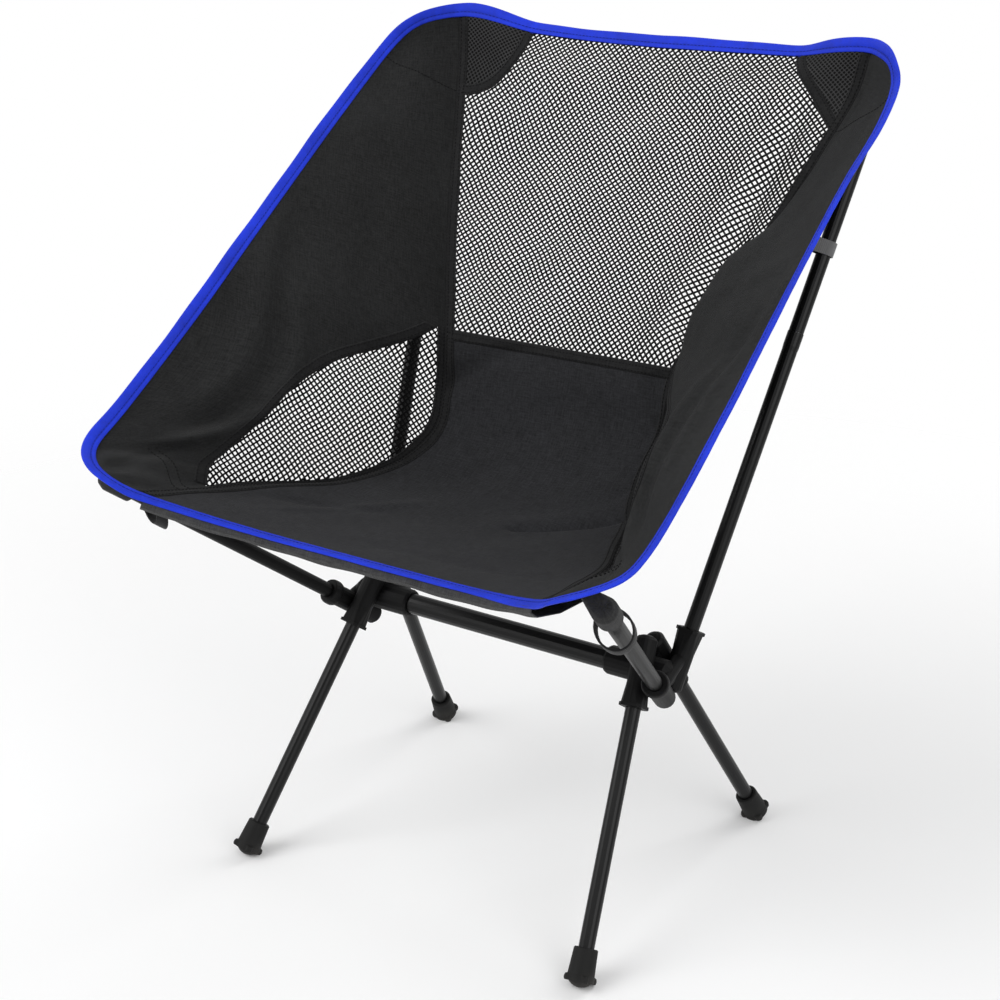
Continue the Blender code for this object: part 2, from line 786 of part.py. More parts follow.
def add_seat(kit):
    """The seat panel, from the front edge to the back panel's seam."""
    rows = body_rows(seat_shares(), 17, lambda share: 1 - seam_inset(share), (0.0, SEWN_GAP / 2))
    sheet("seat_panel", [rows], PANEL_THICKNESS, kit, kit.seat)


def patch_reach(share):
    """How far across the net reaches before the corner patch starts."""
    drop = np.clip((1 - share) / PATCH_DROP, 0, 1)
    return 1 - (1 - NOTCH_SHARE) * np.sqrt(1 - drop**2)


def add_back_net(kit):
    """The net of the back, less its two corner patches."""
    rows = body_rows(
        back_shares(),
        15,
        lambda share: patch_reach(share) - seam_inset(share),
        (SEWN_GAP / 2, 0.0),
    )
    sheet("back_net", [rows], PANEL_THICKNESS, kit, kit.net)


def add_patch(kit):
    """The fine-mesh patch in the right top corner."""
    rows = []
    for share in patch_shares():
        inset = seam_inset(share)
        across = np.linspace(patch_reach(share) + inset, 1 - inset, 5)[:, 0]
        rows.append(body_surface(across, share))
    rows = np.array(rows)
    rows[0] = rows[0] + (rows[1] - rows[0]) * 0.25
    return sheet("top_corner_patch_right", [rows], PANEL_THICKNESS, kit, kit.patch)


def wing_shares():
    """Shares of the wing's rows."""
    return np.concatenate([seat_shares(), back_shares()[1:]])


def wing_lines(share):
    """The seam, the window's lower and upper side and the free edge at one share."""
    seam, edge = seam_line(share)[0], edge_line(share)[0]
    upward = unit(edge - seam)
    height = WINDOW_MARGIN
    if WINDOW_START < share < SEAT_BACK_SHARE:
        height = spline(WINDOW_HEIGHT, share)[0, 0]
    return seam, seam + upward * WINDOW_MARGIN, seam + upward * height, edge, upward


def between(start, end, count):
    """Evenly spaced points between two points."""
    return start + np.outer(np.linspace(0, 1, count), end - start)


def add_wing(kit):
    """The right wing, with its leaf-shaped window."""
    strip, upper = [], []
    for share in wing_shares():
        seam, low, high, edge, upward = wing_lines(share)
        strip.append(between(seam + upward * SEWN_GAP / 2, low, 2))
        upper.append(between(high, edge, 5))
    return sheet("side_wing_right", [np.array(strip), np.array(upper)], PANEL_THICKNESS, kit, kit.wing)


def add_window(kit):
    """The net in the right wing's window."""
    rows = []
    for share in wing_shares():
        if WINDOW_START - MERGE_DISTANCE <= share <= SEAT_BACK_SHARE + MERGE_DISTANCE:
            _, low, high, _, upward = wing_lines(share)
            rows.append(between(low + upward * SEWN_GAP, high - upward * SEWN_GAP, 6))
    rows = np.array(rows)
    rows[0] = rows[0] + (rows[1] - rows[0]) * 0.25
    rows[-1] = rows[-1] + (rows[-2] - rows[-1]) * 0.25
    return sheet("window_net_right", [rows], PANEL_THICKNESS, kit, kit.net)


def rim():
    """Points, outward directions and normals round the right half of the sling's edge."""
    across = np.linspace(0, 1, 9)
    front = np.array([body_surface(across, share) for share in (0.0, 0.02)])
    wing = []
    for share in wing_shares():
        seam, low, _, edge, _ = wing_lines(share)
        wing.append(np.vstack([seam, between(low, edge, 5)]))
    wing = np.array(wing)
    net = NOTCH_SHARE * np.linspace(0, 1, 8)
    patch = NOTCH_SHARE + (1 - NOTCH_SHARE) * np.linspace(0, 1, 5)
    across = np.concatenate([net, patch[1:]])
    top = np.array([body_surface(across, share) for share in (0.98, 1.0)])
    faces = [grid_normals(front), grid_normals(wing), grid_normals(top)]
    points = [front[0], wing[0, 1:], wing[1:, -1], wing[-1, -2:0:-1], top[-1, ::-1]]
    normals = [
        faces[0][0],
        faces[1][0, 1:],
        faces[1][1:, -1],
        faces[1][-1, -2:0:-1],
        faces[2][-1, ::-1],
    ]
    points, normals = np.vstack(points), np.vstack(normals)
    mirror = np.array([-1, 1, 1])
    points = np.vstack([points, points[-2:0:-1] * mirror])
    normals = np.vstack([normals, normals[-2:0:-1] * mirror])
    for _ in range(2):
        normals = unit(np.roll(normals, 1, 0) + 2 * normals + np.roll(normals, -1, 0))
    ahead = unit(np.roll(points, -1, 0) - points)
    behind = unit(points - np.roll(points, 1, 0))
    forward = unit(ahead + behind)
    outward = unit(np.cross(forward, normals))
    widen = 1 / np.clip(np.sum(ahead * forward, axis=1), 0.7, 1)
    return points, outward * widen[:, None], normals


def add_binding(kit):
    """The tape round the whole edge of the sling."""
    points, outward, normals = rim()
    raised = points + normals * (BINDING_THICKNESS - PANEL_THICKNESS) / 2
    inner = raised + outward * SEWN_GAP
    rows = np.stack([inner, inner + outward * BINDING_WIDTH], axis=1)
    sheet("edge_binding", [rows], BINDING_THICKNESS, kit, kit.binding, closed=True)


def add_facing(kit):
    """The hem facing that hangs behind the front edge, under the seat panel."""
    points, outward, normals = rim()
    chosen = np.arange(-FACING_COLUMNS, FACING_COLUMNS + 1)
    rows = []
    for out, down in FACING_PROFILE:
        line = points[chosen] + outward[chosen] * out - normals[chosen] * down
        rows.append(line)
    sheet("front_hem_facing", [np.array(rows)], FACING_THICKNESS, kit, kit.facing, offset=0.0)


def wing_pad(across, share, half):
    """A point just outside the right wing, and the corners of a small square that lies flat there."""
    nudge = 0.01
    point = wing_surface(across, share)[0]
    upward = unit(edge_line(share)[0] - seam_line(share)[0])
    along = wing_surface(across, share + nudge)[0] - wing_surface(across, share - nudge)[0]
    normal = unit(np.cross(upward, along))
    along = np.cross(normal, upward)
    centre = point - normal * (PANEL_THICKNESS + SEWN_GAP)
    corners = [centre + upward * a + along * b for a in (-half, half) for b in (-half, half)]
    return centre, corners, normal


def add_pocket(name, socket, reach, diameter, wall, across, share, kit):
    """A taut cloth pocket over a pole's tip, sewn to the outside of the wing."""
    radius = diameter / 2 + BORE_CLEARANCE
    matrix = socket.frame()
    mouth = reach - POCKET_LENGTH
    points = ring_points(matrix, radius + wall, mouth)
    points += ring_points(matrix, radius + wall, reach - wall)
    points += ring_points(matrix, radius, reach + wall)
    _, corners, _ = wing_pad(across, share, POCKET_PAD / 2)
    blank = hull(name + "_blank", points + corners, kit.cutters)
    bores = new_collection(name + "_bore", hidden=True)
    top = reach + FIT_GAP
    bottom = mouth - POCKET_LENGTH
    bore = [(0.0, top), (radius, top), (radius, bottom), (0.0, bottom)]
    turned(name + "_bore", bore, bores, matrix=matrix)
    for helper in [blank, *bores.objects]:
        helper.display_type = "WIRE"
        helper.hide_render = True
    return add_object(name, combined(blank, None, bores), kit.parts, kit.pocket)


def band(name, socket, middle, radius, shift, towards, kit, material):
    """A webbing band round a pole. Radius and shift give its distance and place at each angle."""
    angles = 2 * np.pi * np.arange(BAND_STEPS) / BAND_STEPS
    axis = np.array(socket.direction())
    aside = unit(towards - axis * np.dot(towards, axis))
    third = np.cross(axis, aside)
    radial = np.outer(np.cos(angles), aside) + np.outer(np.sin(angles), third)
    centre = np.array(socket.at(middle))
    line = centre + radial * radius(angles)[:, None] + np.outer(shift(angles), axis)
    half = axis * LOOP_WIDTH / 2
    rows = np.stack([line - half, line + half], axis=1)
    return sheet(name, [rows], LOOP_THICKNESS, kit, material, closed=True)


def add_back_tab(kit):
    """The webbing tab that ties the side seam to the back pole."""
    anchor, _, normal = wing_pad(0.04, TAB_SHARE, SEWN_GAP)
    origin, axis = np.array(BACK_POLE.at(0.0)), np.array(BACK_POLE.direction())
    slant = abs(np.dot(axis, normal)) * LOOP_WIDTH / 2
    anchor = anchor - normal * (LOOP_THICKNESS + slant)
    middle = float(np.dot(anchor - origin, axis))
    towards = anchor - np.array(BACK_POLE.at(middle))
    snug = POLE_DIAMETER / 2 + SEWN_GAP
    spread = math.acos(snug / np.linalg.norm(towards))

    def radius(angles):
        turn = np.abs((angles + np.pi) % (2 * np.pi) - np.pi)
        return snug / np.cos(np.clip(spread - turn, 0, None))

    return band("back_tab_right", BACK_POLE, middle, radius, np.zeros_like, towards, kit, kit.tab)


def add_pull_loop(kit):
    """The webbing loop that hangs from the front pocket, loose round the seat pole."""
    snug = POLE_DIAMETER / 2 + SEWN_GAP
    mouth = SEAT_POLE_REACH - POCKET_LENGTH - SEWN_GAP
    middle = mouth - LOOP_WIDTH / 2 - LOOP_SLANT
    towards = np.array((0.0, 0.0, 1.0))
    return band(
        "pull_loop_right",
        SEAT_POLE,
        middle,
        lambda angles: snug + LOOP_STANDOFF * (1 - np.cos(angles / 2) ** 4),
        lambda angles: LOOP_SLANT * np.cos(angles),
        towards,
        kit,
        kit.webbing,
    )


class Kit:
    """The collections and materials that the pieces are made with."""

    def __init__(self):
        self.parts = new_collection("folding_camp_chair")
        self.cutters = new_collection("cutters", hidden=True)
        self.crossbar = finish("crossbar_paint", (0.012, 0.012, 0.013), 0.42, 0.2)
        self.pole = finish("pole_paint", (0.010, 0.010, 0.011), 0.30, 0.3)
        self.ferrule = finish("ferrule_metal", (0.45, 0.46, 0.48), 0.35, 1.0)
        self.hub = finish("hub_plastic", (0.016, 0.016, 0.017), 0.55)
        self.tip = finish("tip_plastic", (0.02, 0.02, 0.02), 0.5)
        self.rubber = finish("foot_rubber", (0.014, 0.014, 0.014), 0.7)
        self.cord = finish("cord_elastic", (0.03, 0.03, 0.03), 0.8)
        self.seat = finish("seat_cloth", (0.016, 0.017, 0.020), 0.85)
        self.wing = finish("wing_cloth", (0.014, 0.014, 0.015), 0.85)
        self.net = finish("open_net", (0.012, 0.012, 0.012), 0.8)
        self.patch = finish("fine_mesh", (0.015, 0.015, 0.016), 0.8)
        self.binding = finish("blue_binding", (0.02, 0.06, 0.75), 0.6)
        self.facing = finish("facing_cloth", (0.05, 0.05, 0.05), 0.85)
        self.pocket = finish("pocket_cloth", (0.03, 0.03, 0.03), 0.8)
        self.webbing = finish("black_webbing", (0.012, 0.012, 0.012), 0.75)
        self.tab = finish("grey_webbing", (0.14, 0.14, 0.14), 0.75)


def main():
    """Builds the chair: the paired pieces on the right, their mirror images, and the rest."""
    clear_scene()
    kit = Kit()
    add_crossbar(kit)
    add_seat(kit)
    add_back_net(kit)
    add_binding(kit)
    add_facing(kit)
    paired = [add_hub(kit), add_wing(kit), add_window(kit), add_patch(kit)]
    paired += add_leg("front_leg", FRONT_LEG, kit)
    paired += add_leg("rear_leg", REAR_LEG, kit)
    paired += add_seat_pole(kit)
    paired += add_back_pole(kit)
    paired.append(
        add_pocket(
            "front_pocket_right",
            SEAT_POLE,
            SEAT_POLE_REACH,
            POLE_DIAMETER,
            FRONT_POCKET_WALL,
            *FRONT_POCKET_PLACE,
            kit,
        )
    )
    paired.append(
        add_pocket(
            "top_pocket_right",
            BACK_POLE,
            BACK_POLE_REACH,
            UPPER_POLE_DIAMETER,
            POCKET_WALL,
            *TOP_POCKET_PLACE,
            kit,
        )
    )
    paired += [add_back_tab(kit), add_pull_loop(kit)]
    left_side = bpy.data.objects.new("left_side", None)
    left_side.scale.x = -1
    kit.parts.objects.link(left_side)
    for item in paired:
        twin = item.copy()
        twin.name = item.name.replace("_right", "_left")
        twin.parent = left_side
        kit.parts.objects.link(twin)


if __name__ == "__main__":
    main()
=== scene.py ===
"""The looks of a low folding camp chair: cloth, net, tape, webbing and paint on its fixed frame.

Metres, +Z up. The floor is Z 0, the sitter faces -Y, and the origin is the middle of the footprint.
"Right" is +X. The sling is drawn from three guide lines a side: the free edge, the seam between the
wing and the seat or back, and the middle line. A place on the seat or back is a share across it,
-1 to 1, and a share along it, 0 at the front edge and 1 at the top edge. A place on a wing is a
height above its seam, in metres, and the same share along it.
"""

from __future__ import annotations

import logging
import math
from collections.abc import Callable, Mapping, Sequence
from dataclasses import dataclass, field
from enum import Enum
from typing import Any

import bmesh
import bpy
import numpy as np
from mathutils import Matrix

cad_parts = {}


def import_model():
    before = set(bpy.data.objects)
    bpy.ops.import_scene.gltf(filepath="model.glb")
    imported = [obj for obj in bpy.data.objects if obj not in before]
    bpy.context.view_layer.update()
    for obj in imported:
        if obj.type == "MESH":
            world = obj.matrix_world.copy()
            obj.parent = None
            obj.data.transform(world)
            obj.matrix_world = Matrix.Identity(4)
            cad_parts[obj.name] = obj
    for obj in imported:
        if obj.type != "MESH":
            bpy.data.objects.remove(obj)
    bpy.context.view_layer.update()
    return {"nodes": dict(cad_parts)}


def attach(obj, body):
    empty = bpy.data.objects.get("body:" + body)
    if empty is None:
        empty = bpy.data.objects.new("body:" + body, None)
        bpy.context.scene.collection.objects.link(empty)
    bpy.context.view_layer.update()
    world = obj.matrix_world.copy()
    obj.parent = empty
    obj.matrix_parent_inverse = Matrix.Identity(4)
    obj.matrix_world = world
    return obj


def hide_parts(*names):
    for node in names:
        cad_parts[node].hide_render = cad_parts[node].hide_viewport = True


Array = np.ndarray
Colour = tuple[float, float, float]
Rule = Callable[[Array, Array], Array]
log = logging.getLogger("camp_chair")

# The body that the sling and its fittings ride on.
ROOT = "frame_and_sling"
# The space between pieces that are sewn together, and the thickness of a cloth panel.
SEWN_GAP = 0.0001
PANEL_THICKNESS = 0.0008
# Turns a place on the right side into its counterpart on the left side.
MIRROR = np.array([-1.0, 1.0, 1.0])


class Side(Enum):
    """The two mirrored halves of the chair."""

    RIGHT = 1
    LEFT = -1

    @property
    def word(self) -> str:
        """The side's name as the pieces use it."""
        return self.name.lower()


# Numbers and curves


def array_field(*rows: tuple[float, ...]) -> Any:
    """A dataclass field that holds these rows as an array."""
    return field(default_factory=lambda: np.array(rows))


def unit(vectors: Array) -> Array:
    """The same vectors at length 1."""
    return vectors / np.maximum(np.linalg.norm(vectors, axis=-1, keepdims=True), 1e-12)


def ease(value: Array) -> Array:
    """A smooth step from 0 to 1: 3x^2 - 2x^3 of the value held between 0 and 1."""
    held = np.clip(value, 0, 1)
    return held * held * (3 - 2 * held)


def spline(table: Array, share: Array) -> Array:
    """A smooth curve through a table's rows: cubic Hermite pieces whose slopes are weighted means.

    Args:
        table: rows of a share and the values there.
        share: the shares to work out, of any shape.

    Returns:
        The values, with one more axis than share.
    """
    knots, values = table[:, 0], table[:, 1:]
    share = np.asarray(share, float)
    flat = share.reshape(-1)
    step = np.diff(knots)[:, None]
    slope = np.diff(values, axis=0) / step
    inner = (slope[:-1] * step[1:] + slope[1:] * step[:-1]) / (step[1:] + step[:-1])
    tangent = np.vstack([slope[:1], inner, slope[-1:]])
    index = np.clip(np.searchsorted(knots, flat) - 1, 0, len(knots) - 2)
    width = step[index]
    x = (flat[:, None] - knots[index][:, None]) / width
    start = (2 * x**3 - 3 * x**2 + 1) * values[index]
    start = start + (x**3 - 2 * x**2 + x) * width * tangent[index]
    end = (3 * x**2 - 2 * x**3) * values[index + 1]
    end = end + (x**3 - x**2) * width * tangent[index + 1]
    return (start + end).reshape(*share.shape, -1)


def lengths_along(points: Array, closed: bool = False) -> Array:
    """The distance run at each point of a path, and for a closed one its whole length too."""
    ends = np.vstack([points, points[:1]]) if closed else points
    return np.concatenate([[0.0], np.cumsum(np.linalg.norm(np.diff(ends, axis=0), axis=1))])


def resampled(values: Array, run: Array, places: Array) -> Array:
    """Values given at the distances in run, read off at other distances by straight lines."""
    return np.stack([np.interp(places, run, column) for column in values.T], axis=-1)


@dataclass(frozen=True)
class PoleAxis:
    """The straight axis of a pole that leaves a hub, on the right side.

    The station is where it passes the crossbar and the offset how far aside. It leans along Y and
    splays along X by these degrees, and the two signs say whether it goes back and up. Distances
    start at its nearest point to the crossbar and grow away from the hub.
    """

    station: float
    offset: float
    lean: float
    splay: float
    ahead: int
    rise: int
    crossbar: tuple[float, float] = (-0.0068, 0.1997)

    def direction(self) -> Array:
        """The unit vector from the hub out along the pole.

        Returns:
            The vector.
        """
        across = math.tan(math.radians(self.splay))
        along = self.ahead * math.tan(math.radians(self.lean))
        return unit(np.array([across, along, float(self.rise)]))

    def at(self, distance: float) -> Array:
        """The point of the axis at this distance.

        Args:
            distance: metres from the axis's start.

        Returns:
            The point.
        """
        direction = self.direction()
        aside = unit(np.array([0.0, direction[2], -direction[1]])) * self.offset
        return np.array([self.station, *self.crossbar]) + aside + direction * distance

    def frame(self) -> tuple[Array, Array]:
        """Two unit vectors square to the axis, the first as near to world X as it can be.

        Returns:
            The two vectors.
        """
        forward = self.direction()
        first = unit(np.array([1.0, 0.0, 0.0]) - forward * forward[0])
        return first, np.cross(forward, first)


SEAT_POLE = PoleAxis(0.159, -0.0152, 49.8, 23.0, -1, 1)
BACK_POLE = PoleAxis(0.157, 0.0185, 26.8, 7.3, 1, 1)


@dataclass(frozen=True)
class SlingShape:
    """The sling's surfaces, drawn from guide lines.

    Each guide row is a share along the sling, then the offset of the line there from the straight
    line between the tips of the two poles that hold that side. The turn-up's rows are a share along
    and the power of the rise across. The window's are a share along and a height over the seam.
    """

    seat_reach: float = 0.290
    back_reach: float = 0.527
    back_start: float = 0.6
    notch: float = 0.66
    notch_fade: float = 0.9
    patch_drop: float = 0.115
    window_start: float = 0.092
    window_margin: float = 0.008
    seam_guide: Array = array_field(
        (0.000, -0.041, -0.008, -0.001),
        (0.067, -0.050, 0.010, -0.033),
        (0.133, -0.064, 0.048, -0.068),
        (0.200, -0.092, 0.082, -0.100),
        (0.267, -0.109, 0.104, -0.117),
        (0.333, -0.119, 0.104, -0.122),
        (0.400, -0.119, 0.090, -0.128),
        (0.467, -0.114, 0.071, -0.128),
        (0.600, -0.106, 0.023, -0.112),
        (0.733, -0.067, 0.019, -0.067),
        (0.867, -0.033, 0.015, -0.020),
        (0.933, -0.018, 0.009, 0.000),
        (1.000, -0.011, -0.012, 0.015),
    )
    edge_guide: Array = array_field(
        (0.000, -0.027, -0.016, 0.008),
        (0.067, -0.005, -0.047, -0.002),
        (0.133, 0.015, -0.059, -0.014),
        (0.200, 0.019, -0.068, -0.024),
        (0.400, 0.023, -0.065, -0.022),
        (0.667, 0.027, -0.085, -0.026),
        (0.800, 0.029, -0.055, -0.002),
        (0.900, 0.032, -0.046, 0.004),
        (0.933, 0.031, -0.041, 0.009),
        (0.967, 0.028, -0.043, 0.010),
        (1.000, 0.020, -0.047, 0.012),
    )
    middle_guide: Array = array_field(
        (0.000, 0.033, -0.030),
        (0.133, 0.070, -0.087),
        (0.267, 0.107, -0.126),
        (0.333, 0.109, -0.131),
        (0.400, 0.097, -0.133),
        (0.467, 0.078, -0.130),
        (0.600, 0.032, -0.115),
        (0.800, 0.028, -0.045),
        (1.000, 0.004, 0.005),
    )
    turn_up: Array = array_field((0.0, 4.0), (0.2, 2.6), (0.4, 2.0), (0.6, 1.8), (1.0, 1.8))
    window_height: Array = array_field(
        (0.092, 0.008),
        (0.130, 0.046),
        (0.200, 0.104),
        (0.300, 0.136),
        (0.400, 0.120),
        (0.500, 0.072),
        (0.600, 0.008),
    )

    def tips(self, share: Array) -> Array:
        """Points on the straight line between the two pole tips."""
        front, back = SEAT_POLE.at(self.seat_reach), BACK_POLE.at(self.back_reach)
        return front + np.asarray(share, float)[..., None] * (back - front)

    def seam(self, share: Array) -> Array:
        """The seam between the right wing and the seat or back."""
        return self.tips(share) + spline(self.seam_guide, share)

    def edge(self, share: Array) -> Array:
        """The free edge of the right wing."""
        return self.tips(share) + spline(self.edge_guide, share)

    def middle(self, share: Array) -> Array:
        """The middle of the seat and back, in the plane X 0.

        Args:
            share: shares along.

        Returns:
            A point for each.
        """
        line = self.tips(share)
        line[..., 1:] += spline(self.middle_guide, share)
        line[..., 0] = 0.0
        return line

    def body(self, across: Array, share: Array) -> Array:
        """Points of the seat and back.

        The formula: the middle line, plus the way from it to the seam times a rise. The rise is a
        power of the distance from the middle. Near the top edge it fades into a curve that stays
        0 over the net and turns up only in the corner patches.

        Args:
            across: shares across.
            share: shares along.

        Returns:
            A point for each place.
        """
        across, share = np.broadcast_arrays(np.asarray(across, float), np.asarray(share, float))
        middle, side = self.middle(share), self.seam(share)
        reach = np.clip(np.abs(across), 1e-9, None)
        plain = reach ** spline(self.turn_up, share)[..., 0]
        beyond = np.clip((reach - self.notch) / (1 - self.notch), 0, 1)
        fade = np.clip((share - self.notch_fade) / (1 - self.notch_fade), 0, 1)
        rise = plain + (np.sin(beyond * math.pi / 2) - plain) * fade**2
        points = middle + (side - middle) * rise[..., None]
        points[..., 0] = side[..., 0] * across
        return points

    def wing(self, height: Array, share: Array) -> Array:
        """Points of the right wing: from the seam, this far along the straight way to the edge.

        Args:
            height: metres above the seam.
            share: shares along.

        Returns:
            A point for each place.
        """
        height, share = np.broadcast_arrays(np.asarray(height, float), np.asarray(share, float))
        seam = self.seam(share)
        return seam + unit(self.edge(share) - seam) * height[..., None]

    def wing_height(self, share: Array) -> Array:
        """The wing's whole height at each share."""
        return np.linalg.norm(self.edge(share) - self.seam(share), axis=-1)

    def window_top(self, share: Array) -> Array:
        """The height of the window's upper hem above the seam, or the margin outside the window.

        Args:
            share: shares along.

        Returns:
            A height for each, in metres.
        """
        share = np.asarray(share, float)
        inside = (share > self.window_start) & (share < self.back_start)
        held = np.clip(share, self.window_start, self.back_start)
        return np.where(inside, spline(self.window_height, held)[..., 0], self.window_margin)

    def patch_reach(self, share: Array, side: Side) -> Array:
        """How far across the net reaches before a corner patch starts.

        The formula: on the left a quarter of an ellipse. On the right the corner is pulled outward,
        so the curve is flatter: (1 - drop^1.4)^0.9 in place of (1 - drop^2)^0.5.

        Args:
            share: shares along.
            side: its side of the chair.

        Returns:
            A share across for each.
        """
        drop = np.clip((1 - np.asarray(share, float)) / self.patch_drop, 0, 1)
        power, root = (2.0, 0.5) if side is Side.LEFT else (1.4, 0.9)
        return 1 - (1 - self.notch) * (1 - drop**power) ** root

    @staticmethod
    def run(line: Callable[[Array], Array], count: int = 801) -> tuple[Array, Array]:
        """Shares along one of the guide lines, and the distance run there."""
        share = np.linspace(0, 1, count)
        return share, lengths_along(line(share))


SHAPE = SlingShape()


@dataclass(frozen=True)
class CornerLift:
    """The left top corner stands a little higher than the right one, as the cloth was pulled on.

    Each row is a coordinate and the share of the lift there.
    """

    amount: Array = field(default_factory=lambda: np.array([0.0, 0.002, 0.0105]))
    across: Array = array_field(
        (-0.265, 0.15),
        (-0.240, 0.35),
        (-0.225, 0.80),
        (-0.200, 1.0),
        (-0.136, 0.6),
        (-0.070, 0.2),
        (0.0, 0.0),
        (0.3, 0.0),
    )
    up: Array = array_field((0.0, 0.0), (0.42, 0.0), (0.52, 0.2), (0.60, 0.6), (0.69, 1.0))

    def moved(self, points: Array) -> Array:
        """The points with the lift added.

        Args:
            points: points of the sling.

        Returns:
            The moved points.
        """
        across = np.clip(points[..., 0], self.across[0, 0], self.across[-1, 0])
        up = np.clip(points[..., 2], self.up[0, 0], self.up[-1, 0])
        share = spline(self.across, across)[..., 0] * spline(self.up, up)[..., 0]
        return points + np.clip(share, 0, 1)[..., None] * self.amount


LIFT = CornerLift()


# Relief of the cloth


@dataclass(frozen=True)
class Crease:
    """A fold that runs from one place to another: its places, depth and half width in metres.

    The fade is how many half widths it runs on beyond its ends.
    """

    start: tuple[float, float]
    end: tuple[float, float]
    depth: float
    width: float
    fade: float = 2.5

    def relief(self, u: Array, v: Array) -> Array:
        """The depth times a bell curve of the distance from the fold, faded beyond its ends.

        Args:
            u: metres across.
            v: metres along.

        Returns:
            A height for each place.
        """
        a, b = np.array(self.start), np.array(self.end)
        way = b - a
        length = float(np.hypot(*way))
        way = way / max(length, 1e-9)
        along = (u - a[0]) * way[0] + (v - a[1]) * way[1]
        aside = (u - a[0]) * -way[1] + (v - a[1]) * way[0]
        beyond = np.maximum(np.maximum(-along, along - length), 0)
        fall = -((aside / self.width) ** 2) - (beyond / (self.fade * self.width)) ** 2
        return self.depth * np.exp(fall)


@dataclass(frozen=True)
class Ripples:
    """Soft unevenness of hanging cloth: a sum of sine waves in scattered directions."""

    height: float
    longest: float
    shortest: float
    seed: int
    count: int = 14

    def relief(self, u: Array, v: Array) -> Array:
        """The sum over the waves of height times sin(2 pi (u cos a + v sin a) / length + phase).

        Args:
            u: metres across.
            v: metres along.

        Returns:
            A height for each place.
        """
        draw = np.random.default_rng(self.seed)
        length = self.shortest * (self.longest / self.shortest) ** draw.random(self.count)
        turn, phase = draw.random(self.count) * math.pi, draw.random(self.count) * 2 * math.pi
        share = np.sqrt(length / self.longest)
        wave = (u[..., None] * np.cos(turn) + v[..., None] * np.sin(turn)) / length
        total = (np.sin(2 * math.pi * wave + phase) * share).sum(-1)
        return self.height * total / math.sqrt(self.count)


@dataclass(frozen=True)
class Belly:
    """The rounded hang of a wing, whose crest stands towards the sitter.

    Each row is a share along the sling, the crest's height over the straight surface there, and the
    crest's place as a share of the wing's height.
    """

    table: Array

    def relief(self, height: Array, share: Array) -> Array:
        """The crest's height times (x / c)^3c ((1 - x) / (1 - c))^3(1 - c), for a crest at c.

        Args:
            height: metres above the seam.
            share: shares along.

        Returns:
            A height for each place.
        """
        row = spline(self.table, share)
        crest = np.clip(row[..., 1], 0.15, 0.7)
        x = np.clip(height / SHAPE.wing_height(share), 0, 1)
        rise = (x / crest) ** (3 * crest) * ((1 - x) / (1 - crest)) ** (3 * (1 - crest))
        return np.clip(row[..., 0], 0, None) * rise


RIGHT_BELLY = (
    (0.00, 0.000, 0.50),
    (0.10, 0.003, 0.50),
    (0.20, 0.009, 0.52),
    (0.30, 0.015, 0.54),
    (0.40, 0.018, 0.48),
    (0.50, 0.019, 0.42),
    (0.60, 0.015, 0.30),
    (0.66, 0.024, 0.23),
    (0.71, 0.025, 0.21),
    (0.76, 0.011, 0.22),
    (0.82, 0.003, 0.25),
    (0.90, 0.001, 0.30),
    (1.00, 0.000, 0.30),
)
LEFT_BELLY = (
    (0.00, 0.000, 0.50),
    (0.20, 0.008, 0.55),
    (0.40, 0.012, 0.55),
    (0.60, 0.007, 0.50),
    (0.80, 0.002, 0.50),
    (1.00, 0.000, 0.50),
)
BELLIES = {
    Side.RIGHT: Belly(np.array(RIGHT_BELLY)),
    Side.LEFT: Belly(np.array(LEFT_BELLY)),
}


@dataclass(frozen=True)
class Cloth:
    """A cloth surface: the rules for its points and relief, and its first coordinate's range."""

    rule: Rule
    relief: Rule
    reach: tuple[float, float] = (-0.999, 0.999)

    def normal(self, a: Array, b: Array) -> Array:
        """The unit normal on the sitter's side: the cross product of two small steps.

        Args:
            a: the first coordinates.
            b: the second coordinates.

        Returns:
            A vector for each place.
        """
        step = 1e-4
        a, b = np.clip(a, *self.reach), np.clip(b, 2 * step, 1 - 2 * step)
        first = self.rule(a + step, b) - self.rule(a - step, b)
        second = self.rule(a, b + step) - self.rule(a, b - step)
        return unit(np.cross(first, second))

    def point(self, a: Array, b: Array, lift: Array | float = 0.0) -> Array:
        """The rule's point, moved along the normal by its relief and this lift.

        Args:
            a: the first coordinates.
            b: the second coordinates.
            lift: more height over the surface, in metres.

        Returns:
            A point for each place.
        """
        a, b = np.broadcast_arrays(np.asarray(a, float), np.asarray(b, float))
        height = self.relief(a, b) + np.asarray(lift, float)
        return self.rule(a, b) + self.normal(a, b) * height[..., None]


# Meshes


